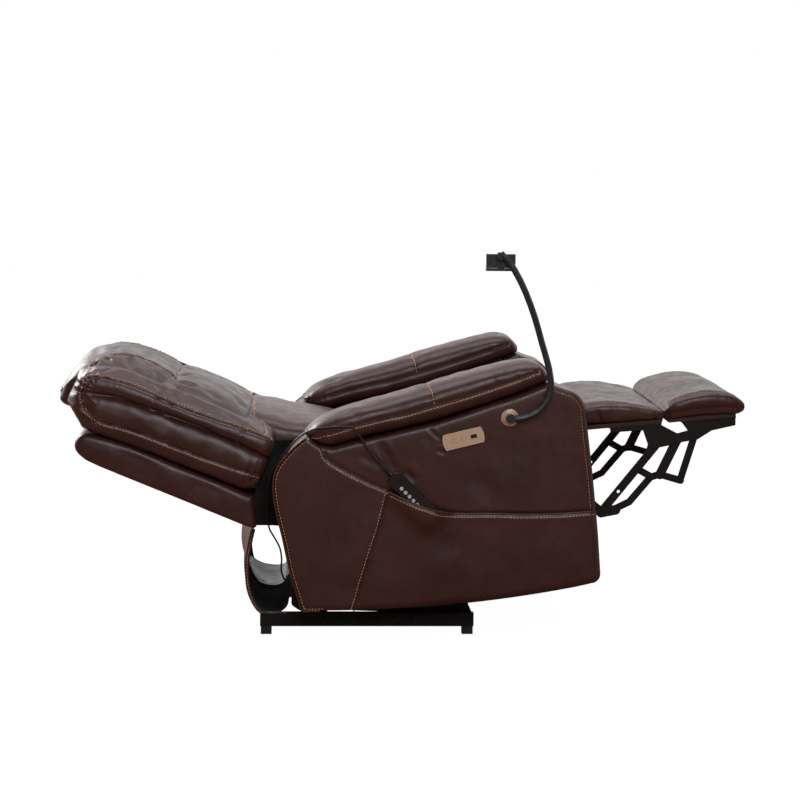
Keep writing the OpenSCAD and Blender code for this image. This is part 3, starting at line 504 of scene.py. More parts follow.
LEATHER = leather("brown_leather", (0.046, 0.0140, 0.0120), (0.060, 0.0190, 0.0165), (0.077, 0.0265, 0.0235),
                  (0.30, 0.44))
THREAD = plastic("tan_thread", (0.62, 0.33, 0.15), 0.62, 1500.0, 0.0002, 0.0002)
UNDERSIDE = plastic("wrapped_board", (0.030, 0.0105, 0.0085), 0.55, 500.0, 0.0002)
# near-black cloth: the rear flap's dull inner side, and the sheet that paints the shade in the gap between
# back and arm
LINING_AND_SHADE_CLOTH = plastic("lining_cloth_and_gap_shade", (0.004, 0.004, 0.0045), 0.9, 1400.0, 0.0002)
LINING = leather("black_lining", (0.006, 0.006, 0.007), (0.012, 0.012, 0.014), (0.02, 0.02, 0.024),
                 (0.28, 0.42))
CORD = plastic("cord_jacket", (0.012, 0.012, 0.013), 0.42, 800.0, 0.0001)

# colour, roughness, and then the grain's scale, its depth and the edge radius where they aren't the usual
PLASTICS = {
    "motor_housing": ((0.02, 0.02, 0.02), 0.5, 500.0, 0.0003, 0.002),
    "glide_rubber": ((0.018, 0.018, 0.018), 0.75, 300.0, 0.0004),
    "black_trim": ((0.012, 0.012, 0.012), 0.4),
    "remote_shell": ((0.008, 0.008, 0.009), 0.16, 900.0, 0.00004, 0.003),
    "remote_keys": ((0.56, 0.57, 0.60), 0.4, 900.0, 0.00005, 0.0006),
    "neck_coat": ((0.018, 0.021, 0.027), 0.38, 700.0, 0.0001),
    "holder_plastic": ((0.014, 0.015, 0.018), 0.34, 700.0, 0.0001),
}
CAD_LOOKS = {slot_name: plastic(slot_name, *facts) for slot_name, facts in PLASTICS.items()}
CAD_LOOKS |= {
    "black_steel": steel("black_steel", (0.006, 0.0055, 0.0055), 0.48),
    "actuator_rod": brushed("actuator_rod", (0.55, 0.55, 0.54), 0.26, (1.0, 30.0, 30.0)),
    "spring_wire": steel("spring_wire", (0.16, 0.16, 0.165), 0.35, 0.9, 300.0, 0.0005),
    "bronze_plate": brushed("bronze_plate", (0.84, 0.62, 0.45), 0.42, (0.3, 1.0, 30.0), 0.55),
    "footrest_board": UNDERSIDE, "cord_jacket": CORD, "leather_brown": LEATHER, "leather_flap": LINING,
}
for row in frame["record"]["subparts"]:
    cad = frame["nodes"][row["node"]]
    if not cad.material_slots:
        cad.data.materials.append(None)
    for slot in cad.material_slots:
        slot.material = CAD_LOOKS[row["material_slot"]]


def place(name, shell, body, replaces=(), slot="leather_brown", materials=(LEATHER, THREAD), weld=False,
          padded=None):
    """A piece of the scene from its shell: the body that it rides on, and the nodes that it replaces."""
    mesh = bpy.data.meshes.new(name)
    mesh.from_pydata(shell.v.tolist(), [], shell.f)
    for m in materials:
        mesh.materials.append(m)
    mesh.polygons.foreach_set("material_index", shell.m)
    mesh.polygons.foreach_set("use_smooth", [True] * len(mesh.polygons))
    mesh.update()
    if weld:
        bm = bmesh.new()
        bm.from_mesh(mesh)
        bmesh.ops.remove_doubles(bm, verts=bm.verts, dist=2e-5)
        bmesh.ops.recalc_face_normals(bm, faces=bm.faces)
        bm.to_mesh(mesh)
        bm.free()
    obj = bpy.data.objects.new(name, mesh)
    bpy.context.scene.collection.objects.link(obj)
    if body:
        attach(obj, body)
    if replaces:
        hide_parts(*replaces)
    return obj


def place_pairs(body, *pairs):
    """Right pieces and their mirror images, each over the right or left node of its kind."""
    for side in ("right", "left"):
        for name, shell, node, options in pairs:
            shell = shell if side == "right" else shell.mirrored()
            place(f"{name}_{side}", shell, body, [f"{node}_{side}"], **options)


# ---- the hand control's cord ----
CORD_D = 0.005
CORD_ROUTE = [
    (43, -461, 481.2), (36, -461, 488), (24, -461, 501), (6, -460, 520), (-10, -460, 540),
    (-26, -461, 564), (-40, -462, 584), (-56, -462, 597), (-80, -462, 598), (-112, -462, 596),
    (-146, -462, 592), (-174, -460, 580), (-200, -457, 560), (-216, -450, 540), (-230, -438, 516),
    (-251, -412, 490), (-267, -380, 452), (-274, -350, 404), (-275, -328, 350), (-270, -310, 302),
    (-261, -300, 280), (-249, -290, 258), (-239, -281, 234), (-235, -270, 204), (-236, -260, 174),
    (-231, -253, 152), (-225, -250.5, 142.5), (-218, -250, 140.6), (-208.3, -250, 141.5)]


def remote_cord():
    """The cord from the hand control, over the arm rest's rear and behind the arm to its connector."""
    path = np.array(CORD_ROUTE) * MM
    fine = spline(path, 160)
    shell = tube(fine, CORD_D / 2, 10)
    cord = place("hand_control_cord", shell, "chassis", ["remote_cord"], "cord_jacket", [CORD])


remote_cord()


# ---- light and floor ----
LIGHT_AIM = (0.1, 0, 0.4)
# at, size and power in watts
LIGHTS = {"top_light": ((0.1, 0.0, 3.4), (3.2, 2.0), 46), "front_light": ((0.5, -4.4, 2.6), (2.6, 1.8), 72),
          "rear_light": ((-2.6, 2.2, 2.0), (2.4, 1.8), 95)}
FLOOR_HALF, FLOOR_Z = 9.0, -0.0005
# for the camera the floor glows nearly white, with a share of white paint that takes the chair's shadow
FLOOR_GLOW, GLOW_SHARE = 1.14, 0.86


def area(name, at, size, energy):
    data = bpy.data.lights.new(name, "AREA")
    data.shape = "RECTANGLE"
    data.size, data.size_y = size
    data.energy = energy
    lamp = bpy.data.objects.new(name, data)
    bpy.context.scene.collection.objects.link(lamp)
    lamp.location = at
    lamp.rotation_euler = (Vector(LIGHT_AIM) - Vector(at)).to_track_quat("-Z", "Y").to_euler()


def backdrop():
    """White for the camera all round. Polished and clear things see it so behind the chair."""
    world = bpy.data.worlds.new("studio")
    bpy.context.scene.world = world
    net = Nodes(world)
    way = net.add("TexCoord", {}, "Generated")
    # darker towards the camera, brightest low behind the chair
    behind = net.spread(net.add("SeparateXYZ", {"Vector": way}, "Y"), -0.35, 0.55, 0.06, 1.0)
    low = net.spread(net.add("SeparateXYZ", {"Vector": way}, "Z"), 0.32, 0.72, 1.0, 0.35)
    glow = net.math("MULTIPLY", behind, low)
    base = net.add("Background", {"Color": (1.0, 0.93, 0.98, 1), "Strength": glow}, "Background")
    white = net.add("Background", {"Color": (1, 1, 1, 1), "Strength": 1.0}, "Background")
    seen = net.math("ADD", net.math("MULTIPLY", net.rays("Glossy", "Transmission"), glow), net.rays("Camera"))
    net.feed(net.nodes["World Output"], {"Surface": net.mix(seen, base, white)})


def studio_floor():
    """The pale floor, with the chair's shadow for the camera and a warm brown for all other rays."""
    mesh = bpy.data.meshes.new("floor")
    corners = [(-1, -1, 0), (1, -1, 0), (1, 1, 0), (-1, 1, 0)]
    mesh.from_pydata([(x * FLOOR_HALF, y * FLOOR_HALF, z) for x, y, z in corners], [], [(0, 1, 2, 3)])
    floor = bpy.data.objects.new("floor", mesh)
    bpy.context.scene.collection.objects.link(floor)
    floor.location.z = FLOOR_Z
    mat = bpy.data.materials.new("pale_floor")
    net = Nodes(mat)
    warm = net.nodes["Principled BSDF"]
    net.feed(warm, {"Base Color": (0.32, 0.17, 0.11, 1), "Roughness": 0.9})
    paint = net.add("BsdfDiffuse", {"Color": (0.86, 0.86, 0.86, 1)}, "BSDF")
    glow = net.add("Emission", {"Strength": FLOOR_GLOW}, "Emission")
    white = net.mix(GLOW_SHARE, paint, glow)
    surface = net.mix(net.rays("Camera", "Transmission"), warm.outputs["BSDF"], white)
    net.feed(net.nodes["Material Output"], {"Surface": surface})
    mesh.materials.append(mat)


backdrop()
for light_name, light in LIGHTS.items():
    area(light_name, *light)
studio_floor()


# ---- slabs: a flat outline in two coordinates, with rounded edges and a relief on its faces ----
EDGE_BANDS = (0.0015, 0.004, 0.0075, 0.012)    # rows of points that follow the outline, this far inside it


def edge_distance(p, outline):
    """How far points of the side view lie from a closed outline."""
    return near(p, np.concatenate([outline, outline[:1]]))[0]


def inside(p, outline):
    """Which points of the side view lie within a closed outline."""
    x, z = p[:, 0], p[:, 1]
    hit = np.zeros(len(p), bool)
    for a, b in zip(outline, np.roll(outline, -1, axis=0)):
        cross = (a[1] > z) != (b[1] > z)
        with np.errstate(divide="ignore", invalid="ignore"):
            at = (b[0] - a[0]) * (z - a[1]) / (b[1] - a[1]) + a[0]
        hit ^= cross & (x < at)
    return hit


def fill(outline, step):
    """Triangles over a closed outline, closer together by its edge."""
    t = np.roll(outline, -1, axis=0) - np.roll(outline, 1, axis=0)
    t /= np.linalg.norm(t, axis=1, keepdims=True)
    n = np.stack([-t[:, 1], t[:, 0]], -1)
    if not inside(outline[:1] + n[:1] * 0.002, outline)[0]:
        n = -n
    points = [outline]
    for band in EDGE_BANDS:
        q = outline + n * band
        points.append(q[(edge_distance(q, outline) > 0.9 * band) & inside(q, outline)])
    lo, hi = outline.min(axis=0), outline.max(axis=0)
    middle = []
    for i, z in enumerate(np.arange(lo[1], hi[1], step * 0.866)):
        x = np.arange(lo[0] + (i % 2) * step / 2, hi[0], step)
        middle.append(np.stack([x, np.full(len(x), z)], -1))
    middle = np.concatenate(middle)
    middle = middle[inside(middle, outline)]
    points.append(middle[edge_distance(middle, outline) > EDGE_BANDS[-1] + step * 0.55])
    border = [list(range(len(outline)))]
    got = delaunay_2d_cdt([Vector(p) for p in np.concatenate(points)], [], border, 1, 1e-7)
    return np.array([tuple(v) for v in got[0]]), [tuple(f) for f in got[2]]


def round_over(d, r):
    """How far a rounded edge of radius r falls back at a distance d from the outline."""
    q = np.clip(d, 0, r)
    return r - np.sqrt(np.maximum(r * r - (r - q) ** 2, 0))


def slab(outline, y0, y1, r, to_world, relief, step, far_step, strips=10):
    """Two filled faces at y0 and y1 with rounded edges of radius r, and the wall between them."""
    p, faces = fill(outline, step)
    d = edge_distance(p, outline)
    shell = Shell(to_world(p[:, 0], y0 + (round_over(d, r) + relief(p, d)), p[:, 1]), faces)
    p, faces = fill(outline, far_step)
    shell.add(Shell(to_world(p[:, 0], y1 - round_over(edge_distance(p, outline), r), p[:, 1]), faces))
    m = len(outline)
    levels = np.linspace(y0 + r, y1 - r, strips + 1)
    wall = np.concatenate([to_world(outline[:, 0], np.full(m, y), outline[:, 1]) for y in levels])
    return shell.add(Shell(wall, quads(strips + 1, m, closed=True)))


# ---- arms ----
ARM_LEN, ARM_OUT, ARM_IN = 0.804, -0.450, -0.290
ARM_MID = (ARM_OUT + ARM_IN) / 2
ARM_R = 0.014       # the outer face's rounded edge
CORNER = (ARM_LEN - 0.072, 0.466)     # centre of the front's upper round
# place along the arm, underside, top and share of the half width of the arm rest pad
PAD_ROWS = np.array([
    [58, 466, 474, 0.6], [68, 454, 484, 0.78], [86, 440, 498, 0.9], [116, 431, 512, 0.97], [170, 440, 527, 1],
    [240, 450, 540, 1], [306, 460, 551, 1], [387, 472, 568, 1], [464, 489, 585, 1], [540, 508, 600, 1],
    [600, 521, 609, 1], [640, 532, 611, 0.98], [668, 541, 606, 0.93], [688, 547, 594, 0.85],
    [700, 551, 580, 0.7]]) * (MM, MM, MM, 1)
PAD_HALF = 0.087
RIM = np.array([(89, 439), (100, 405), (131, 377), (196, 335), (250, 306), (292, 282), (346, 254), (415, 229),
                (521, 218), (606, 208), (702, 201), (806, 199)]) * MM
DOWN_SEAM = np.array([(253, 291), (222, 200), (209, 172), (168, 69), (137, -14)]) * MM
PAD_STITCH = np.array([(-157, 569), (-106, 580), (-42, 599), (46, 621), (74, 626), (147, 648), (257, 681),
                       (367, 719), (438, 745)]) * MM
# how far the piping and the pocket lie behind the front edge, at these heights
FRONT_PIPING = ((0.016, 0.41), (0.012, 0.32), (0.009, 0.2), (0.008, 0.13), (0.010, 0.03))
POCKET_FRONT = ((0.0045, 0.18), (0.0035, 0.13), (0.004, 0.03), (0.012, 0.012))
ARM_REAR = np.array([(58, 467), (12, 435), (-26, 397), (-41, 370), (-48, 335), (-46, 282), (-34, 200),
                     (-21, 98), (0, 0)]) * MM
# soft folds by the control plate, below the pad and over the hand control
ARM_FOLDS = (((398, 431), (377, 458), 2.4, 5), ((413, 388), (392, 400), 1.6, 6),
             ((186, 408), (245, 366), 1.2, 10), ((244, 432), (274, 360), 3.6, 10),
             ((300, 352), (330, 322), 3, 12), ((480, 330), (560, 235), 2, 28))
PAD_FOLDS = (((550, -440, 585), (560, -455, 560), 3, 9), ((600, -430, 600), (615, -455, 570), 2.5, 10),
             ((140, -420, 520), (200, -450, 500), 3, 12), ((100, -340, 510), (160, -310, 520), 4, 12))


def underside(share, lift=0.0):
    """A point of the arm's bowed lower edge."""
    return (ARM_LEN - 0.024) * share, -0.088 * share * (1 - share) + lift


def arm_outline():
    """The arm panel's closed outline in the seat box's side view."""
    pts = [(0, 0)] + [underside(u) for u in np.linspace(0.06, 0.94, 15)]
    pts += arc(ARM_LEN - 0.025, 0.026, 0.025, -90, 0, 8)
    pts += [(ARM_LEN + 0.001, 0.130), (ARM_LEN, 0.200), (ARM_LEN - 0.003, 0.320), (ARM_LEN - 0.007, 0.410)]
    pts += arc(*CORNER, 0.064, 4, 78, 8)
    pts += [(row[0], row[1] - 0.0008) for row in PAD_ROWS[::-1]]
    pts += [tuple(p) for p in spline(ARM_REAR, 60)[1:-1]]
    return even(pts, 0.006, closed=True)


ARM_OUTLINE = arm_outline()
RIM_LINE = smooth_line(RIM)
DOWN_LINE = smooth_line(DOWN_SEAM)
REMOTE_BOX = np.array([[281.1, 329.9], [352.3, 242.3]]) * MM    # centres of the hand control's two round ends


def arm_relief(p, d):
    """How far the arm's outer face lies behind its plane."""
    h = 0.0035 * np.exp(-d / 0.045) - groove(p, RIM_LINE, 0.0035, 0.005) - groove(p, DOWN_LINE, 0.002, 0.004)
    h += 0.0009 * (1 + waves(p, 0.16, 3)) * ramp(d, 0.01, 0.06)
    h += 0.004 * np.exp(-(near(p, REMOTE_BOX)[0] / 0.05) ** 2)
    return h - folds(p, ARM_FOLDS)


def on_arm(line, dx=0.0, dz=0.0, dy=0.0):
    """A line of the arm's side view, moved a little and laid on its outer face."""
    return room(line[:, 0] + dx, np.full(len(line), ARM_OUT + dy), line[:, 1] + dz)


def arm_shell():
    """The arm panel's cover with its seams, piping and stitches."""
    shell = slab(ARM_OUTLINE, ARM_OUT, ARM_IN, ARM_R, room, arm_relief, 0.0052, 0.014).settle()
    rear = ARM_OUTLINE[(ARM_OUTLINE[:, 0] < 0.05) & (ARM_OUTLINE[:, 1] < 0.462)]
    edge = smooth_line(rear[np.argsort(-rear[:, 1])][::4])
    shell.add(tube(on_arm(edge, 0.001, dy=0.006), 0.0032))
    shell.stitch(on_arm(edge, 0.006))
    # curved seam from the pad to the down seam, its stitches on the lower side
    seam = RIM_LINE[RIM_LINE[:, 0] < 0.262]
    shell.stitch(on_arm(seam, -0.006, -0.007))
    shell.pipe(on_arm(seam), 0.0022)
    shell.stitch(on_arm(DOWN_LINE, -0.008))
    # piped edge round the front
    front = arc(*CORNER, 0.055, 80, 4, 16)
    front += [(ARM_LEN - inset, z) for inset, z in FRONT_PIPING]
    front = smooth_line(front)
    shell.pipe(on_arm(front), 0.0016, 0.0004)
    shell.stitch(on_arm(front, -0.006), FINE_THREAD)
    return shell


def pad_end(row, way):
    """Ever smaller cross sections that round the pad's end over."""
    mid, half = (row[1] + row[2]) / 2, (row[2] - row[1]) / 2
    return [[row[0] + way * out, mid - half * k, mid + half * k, row[3] * k]
            for k, out in ((0.86, 0.003), (0.6, 0.0055), (0.3, 0.0068), (0.06, 0.0072))]


def pad_shell():
    """The arm rest pad, with a seam along both sides and one over its top."""
    rows = spline(PAD_ROWS, 130)
    rows = np.concatenate([pad_end(rows[0], -1)[::-1], rows, pad_end(rows[-1], 1)])
    c, s = squircle(96, 2.9)
    rings = []
    for x, low, high, share in rows:
        z = (low + high) / 2 + (high - low) / 2 * s
        rings.append(np.stack([np.full(96, x), ARM_MID + PAD_HALF * share * c, z], -1))
    shell = loft(rings)
    line = unroom(np.insert(PAD_STITCH, 1, 0, axis=1))
    share = np.interp(line[:, 0], PAD_ROWS[:, 0], PAD_ROWS[:, 3])
    sides = []
    for way in (-1, 1):
        line[:, 1] = ARM_MID + way * PAD_HALF * share * 0.985
        sides.append(smooth_line(line))
    top = np.interp(0.384, PAD_ROWS[:, 0], PAD_ROWS[:, 2])
    half = [(0.389, 0.0865, 0.527), (0.386, 0.080, 0.553), (0.383, 0.055, top - 0.006)]
    over = smooth_line([(x, ARM_MID - y, z) for x, y, z in half] + [(0.382, ARM_MID, top + 0.002)] +
                       [(x, ARM_MID + y, z) for x, y, z in half[::-1]])
    p = shell.v
    h = waved(p, 0.00125, 0.20, 5, 0.0008, 0.07) + folds(p, PAD_FOLDS)
    for side in sides:
        h += groove(p, side, 0.0035, 0.0045, 0.0015, 0.018)
        h += puckers(p, side[side[:, 0] > 0.62], 0.0022, 0.013, 0.020, 7)
        h += puckers(p, side[side[:, 0] < 0.13], 0.0022, 0.013, 0.020, 8)
    h += groove(p, over, 0.0028, 0.004, 0.0012, 0.02) + puckers(p, over, 0.0007, 0.022, 0.03, 9)
    shell.settle(h)
    for side in sides:
        shell.pipe(side, 0.0018)
    shell.stitch(sides[0] - (0, 0, 0.0062))
    shell.stitch(over + (0.0058, 0, 0))
    return shell.to(room)


def pocket_shell():
    """The stitched leather pocket: a second skin low on the arm, swelling round the hand control's end."""
    start = np.argmin(np.linalg.norm(RIM_LINE - DOWN_LINE[0], axis=1))
    rim = RIM_LINE[start:]
    rim = rim[rim[:, 0] < ARM_LEN - 0.004]
    front = [(ARM_LEN - inset, z) for inset, z in POCKET_FRONT]
    low = [underside(u, 0.0035) for u in np.linspace(0.96, 0.19, 14)]
    outline = even(np.concatenate([rim, front, low, DOWN_LINE[::-1][2:-1]]), 0.0055, closed=True)
    p, faces = fill(outline, 0.0055)
    d_arm = edge_distance(p, ARM_OUTLINE)
    d_own = edge_distance(p, outline)
    base = round_over(d_arm, ARM_R) + 0.0035 * np.exp(-d_arm / 0.045)
    swell = 0.0235 * np.exp(-(np.maximum(near(p, REMOTE_BOX)[0] - 0.021, 0) / 0.030) ** 2)
    lift = 0.0015 + 0.0030 * ramp(d_own, 0, 0.012) + 0.0015 * ramp(d_own, 0.0, 0.09)
    lift *= ramp(d_arm, 0.001, 0.02)
    lift += swell + 0.0012 * waves(p, 0.14, 12) * ramp(d_own, 0.01, 0.08)
    lift += 0.002 * np.exp(-(near(p, rim)[0] / 0.02) ** 2) * ramp(p[:, 0], 0.26, 0.34)
    y = ARM_OUT + base - lift
    shell = Shell(room(p[:, 0], y, p[:, 1]), faces).settle()

    def laid(line):
        """The vertices of the pocket's face that lie nearest to a line of the side view."""
        nearest = [int(np.argmin(np.linalg.norm(p - o, axis=1))) for o in line]
        return nearest, room(line[:, 0], y[nearest], line[:, 1])

    # turned-in edge
    outer = shell.v[laid(outline)[0]]
    shell.add(Shell(np.concatenate([outer, outer + (0, 0.0035, 0)]), quads(2, len(outline), closed=True)))
    line = laid(rim)[1][1:-1]
    shell.add(tube(line, 0.0026))
    shell.stitch(line - (0, 0, 0.0095))
    shell.add(tube(laid(DOWN_LINE)[1], 0.0018, 7))
    return shell


place_pairs("chassis", ("arm_cover", arm_shell(), "arm_panel", {"weld": True, "padded": 0.9}),
            ("arm_rest", pad_shell(), "arm_pad", {"padded": 0.8}))
place("pocket_cover", pocket_shell(), "chassis", ["side_pocket"])


# ---- back, with tables in millimetres along it, across and square to it ----
def across(table, s):
    """A table's value at a place along the back."""
    return float(np.interp(s, *zip(*table)))


ROLL_TOP = [(150, -14), (176, -9), (200, -5), (240, -1), (300, 1), (400, 2), (455, 0), (480, -1), (557, -2),
            (605, -5), (645, -14), (672, -25), (698, -42), (713, -60), (724, -84), (730, -100), (733, -112)]
ROLL_INNER = [(150, 256), (205, 256), (222, 247), (237, 236), (248, 292), (440, 292), (456, 214), (476, 214),
              (492, 292), (680, 292), (700, 284), (733, 252)]
ROLL_STITCH = [(150, -17), (209, -17), (308, -22), (426, -27), (528, -24), (626, -30), (676, -48), (700, -64),
               (724, -94), (733, -113)]
ROLL_CREASE = [(150, -64), (182, -62), (232, -59), (354, -58), (472, -62), (588, -69), (640, -84), (676, -98),
               (733, -114)]
ROLL_LOW_STITCH = [(150, -117), (186, -121), (283, -130), (382, -133), (513, -137), (586, -146), (612, -144),
                   (640, -137), (680, -130), (710, -124), (733, -115)]
ROLL_BOTTOM = [(150, -166), (185, -173), (306, -174), (424, -178), (500, -180), (560, -184), (622, -188),
               (641, -184), (654, -172), (668, -162), (690, -146), (722, -130), (733, -116)]
ROLL_START = [(149, 0.05), (150, 0.4), (152, 0.66), (156, 0.84), (164, 0.95), (178, 1)]
# where the roll's head end starts to round over, where it ends, and the |y| that it closes on
ROLL_FROM, ROLL_TO, ROLL_MID = 658, 706, 294
# its seam's bend round the head end, the seam across its seat end, and the knot where the seams meet
ROLL_BEND = [(656, -368, -37), (673, -364, -46), (683, -360, -62), (682, -360, -86), (674, -364, -106),
             (660, -368, -123)]
ROLL_CROSS = np.array([(243, -226, 15), (231, -238, 12), (214, -253, 8), (201, -276, 5), (194, -304, 0),
                       (190, -331, -7), (190, -358, -17)]) * MM
ROLL_KNOT = np.array([(664, -366, -120), (652, -369, -131)]) * MM
ROLL_FOLDS = (((650, -330, -10), (676, -360, -40), 6, 8), ((630, -320, -2), (652, -355, -28), 5, 8),
              ((668, -370, -104), (632, -373, -122), 6, 9), ((664, -370, -118), (622, -373, -134), 5, 8),
              ((640, -368, -160), (600, -371, -150), 4, 9), ((455, -260, 10), (420, -310, 6), 6, 12),
              ((500, -320, 2), (470, -350, -10), 4, 12), ((300, -330, 12), (250, -362, -12), 3, 14),
              ((262, -345, 2), (232, -366, -20), 3, 10), ((180, -372, -150), (162, -365, -120), 5, 8))


def roll_ring(s, m=170):
    """One cross section of a side bolster: an upper and a lower lobe with a crease between them."""
    top, seam, crease, low, base, inner = (across(table, s) for table in (
        ROLL_TOP, ROLL_STITCH, ROLL_CREASE, ROLL_LOW_STITCH, ROLL_BOTTOM, ROLL_INNER))
    shed = 0.16 * max(292 - inner, 0) if s < 600 else 0.0
    sunk = float(np.interp(s, [600, 690], [356, 369]))
    pts = [(inner + 1, top + shed + 1), (0.5 * (inner + 314), top + 0.5 * shed), (312, top - 1),
           (334, 0.55 * top + 0.45 * seam + 1), (353, 0.22 * top + 0.78 * seam + 1), (365, seam),
           (372, 0.5 * (seam + crease)), (368, 0.8 * crease + 0.2 * seam), (sunk, crease),
           (367, 0.82 * crease + 0.18 * low), (372.5, 0.62 * crease + 0.38 * low),
           (374, 0.3 * crease + 0.7 * low), (370, low), (366, 0.55 * low + 0.45 * base),
           (352, 0.85 * base + 0.15 * low), (330, base), (304, base), (inner + 1, 0.9 * base + 0.1 * low),
           (inner, 0.5 * (base + top)), (inner, top + shed - 0.1 * (top - base))]
    ring = spline(pts, m, closed=True)
    mid = np.array((312.0, 0.5 * (top + base)))
    ring = mid + (ring - mid) * across(ROLL_START, s)
    w = math.sqrt(max(1 - max((s - ROLL_FROM) / (ROLL_TO - ROLL_FROM), 0) ** 2, 0.0002))
    outside = ring[:, 0] > ROLL_MID
    ring[outside, 0] = ROLL_MID + (ring[outside, 0] - ROLL_MID) * w
    return np.stack([np.full(m, s), -ring[:, 0], ring[:, 1]], -1) * MM


def roll_shell():
    """A side bolster of the back, right side."""
    stations = np.concatenate([[149, 149.6, 150.6, 152, 154, 157, 161, 166], np.arange(171, 660, 4.6),
                               np.arange(663, 698, 3.4), [699.5, 701.5, 703.2, 704.5, 705.3, 705.8]])
    shell = loft([roll_ring(s) for s in stations])
    p = shell.v
    along = lambda table, places, y: [(s, y, across(table, s)) for s in places]
    top = along(ROLL_STITCH, [158, 209, 308, 426, 528, 600, 640], -367)
    low = along(ROLL_LOW_STITCH, [640, 612, 586, 513, 382, 283, 186, 160], -370)
    seam = smooth_line(np.array(top + ROLL_BEND + low) * MM, 0.005)
    crease = smooth_line(np.array(along(ROLL_CREASE, [152, 182, 232, 354, 472, 588, 640, 672], -352)) * MM)
    cross = smooth_line(ROLL_CROSS, 0.005)
    h = waved(p, 0.0016, 0.16, 21, 0.0006, 0.05) + folds(p, ROLL_FOLDS) + groove(p, ROLL_KNOT, 0.009, 0.010)
    h += groove(p, seam, 0.0038, 0.0045, 0.0018, 0.016) + puckers(p, seam, 0.0007, 0.017, 0.014, 23)
    h += groove(p, crease, 0.002, 0.006, 0.001, 0.02) + groove(p, cross, 0.004, 0.0045, 0.002, 0.018)
    h += puckers(p, seam[seam[:, 0] > 0.640], 0.0048, 0.019, 0.028, 24)
    h += puckers(p, seam[(seam[:, 0] < 0.20) & (seam[:, 2] < -0.1)], 0.0032, 0.016, 0.028, 25)
    shell.settle(h)
    outwards = np.sign(seam[:, 2:3] + 0.082)
    shell.stitch(seam + np.array([0, 0, 0.0062]) * outwards)
    shell.pipe(seam, 0.0017)
    shell.stitch(cross - (0.007, 0, 0))
    shell.pipe(cross, 0.0017)
    return shell.to(back)


CUSHION_ENDS = ((0.8, 0.35), (0.4, 0.85), (0.05, 1.0))    # share of the thickness, and how far out
END_REACH = 0.006


def cushion_end(row, way):
    """Ever smaller rows that round a cushion's end over."""
    along, half, low, high = row
    thick, mid = (high - low) / 2, (high + low) / 2
    reach = way * min(thick, END_REACH)
    return [[along + out * reach, half * (0.75 + 0.25 * k), mid - thick * k, mid + thick * k]
            for k, out in CUSHION_ENDS]


def cushion(rows, power, m, n, drop=None):
    """A closed pad through rows of (along, half width, low, high), rounded over at both ends."""
    rows = spline(rows, n)
    rows = np.concatenate([cushion_end(rows[0], -1)[::-1], rows, cushion_end(rows[-1], 1)])
    c, s = squircle(m, power, 0.01)
    rings = []
    for x, half, low, high in rows:
        ring = np.stack([c * half, (low + high) / 2 + (high - low) / 2 * s], -1)
        y, z = resample(np.concatenate([ring, ring[:1]]), m).T
        if drop:
            z = z - drop(np.abs(y)) * ramp(z, (low + high) / 2, high)
        rings.append(np.stack([np.full(m, x), y, z], -1))
    return loft(rings)


HEAD_ROWS = np.array([
    [455.6, 262, -100, -52], [456.6, 272, -124, -8], [459.5, 280, -136, 8], [465, 286, -142, 15],
    [478, 290, -148, 21], [500, 292, -149, 24], [530, 292, -149, 26], [562, 292, -149, 26],
    [605, 292, -149, 23], [645, 292, -156, 13], [675, 296, -160, -4], [698, 296, -162, -20],
    [713, 293, -162, -38], [724, 287, -158, -60], [730, 278, -152, -84], [732.5, 268, -142, -104]]) * MM
MID_ROWS = np.array([
    [228.4, 266, -100, -46], [229.2, 276, -118, -10], [231.8, 284, -134, 8], [239, 290, -144, 16],
    [254, 292, -149, 23], [278, 292, -149.5, 28], [310, 292, -149.5, 32], [350, 292, -149.5, 33.5],
    [400, 292, -149.5, 32], [432, 292, -149, 28], [452, 290, -144, 22], [463, 285, -134, 14],
    [467.4, 278, -118, 0], [468.6, 266, -96, -46]]) * MM
LUMBAR_ROWS = np.array([
    [-94, 240, -26, 24], [-88, 246, -48, 40], [-70, 250, -72, 58], [-40, 252, -90, 68],
    [0, 252, -98, 70], [40, 252, -110, 65], [90, 252, -130, 54], [140, 252, -149.5, 43],
    [180, 252, -149.5, 36], [208, 251, -146, 30], [228, 248, -138, 26], [240, 244, -126, 18],
    [246, 238, -108, 2], [248, 228, -84, -44]]) * MM
# long soft folds across the top of the pillow, and short ones beside its seams
HEAD_FOLDS = (((560, -150, 20), (555, 20, 25), 3, 14), ((600, -140, 18), (606, 80, 22), 3, 16),
              ((640, -150, 10), (650, -40, 12), 3, 13), ((690, -140, -16), (700, 100, -20), 3, 14),
              ((660, -190, -4), (640, -270, -6), 4, 10), ((600, -190, 10), (585, -260, 4), 4, 11),
              ((520, -200, 8), (500, -280, -2), 4, 12), ((545, -190, 10), (540, -250, 4), 3, 10))
MID_FOLDS = (((452, -210, 10), (405, -230, 14), 6, 12), ((452, -120, 20), (425, -80, 28), 4, 12),
             ((452, 100, 20), (428, 60, 28), 4, 12), ((262, -200, 14), (300, -140, 26), 3, 14),
             ((262, 160, 14), (296, 200, 20), 3, 14), ((330, -250, 14), (380, -220, 16), 3, 18))
LUMBAR_FOLDS = [fold_row for way in (-1, 1) for fold_row in (
    ((205, way * 240, 30), (150, way * 190, 56), 4, 14), ((100, way * 245, 50), (60, way * 200, 72), 3, 14))]
HEAD_SEAM = np.array([(704, 290, -60), (698, 282, -36), (688, 262, -18), (672, 236, -4), (651, 212, 6),
                      (630, 182, 12), (608, 162, 17), (580, 151, 20), (552, 147, 20), (520, 152, 19),
                      (492, 162, 15), (474, 172, 11), (460, 180, 0)]) * MM
HEAD_DROP = ((0, 0), (80, 1), (135, 3), (165, 5.5), (200, 10.5), (250, 19), (293, 28))
MID_EDGE = np.array([(243, -238, 2), (243, -180, 4), (242, 0, 12), (243, 180, 4), (243, 238, 2)]) * MM
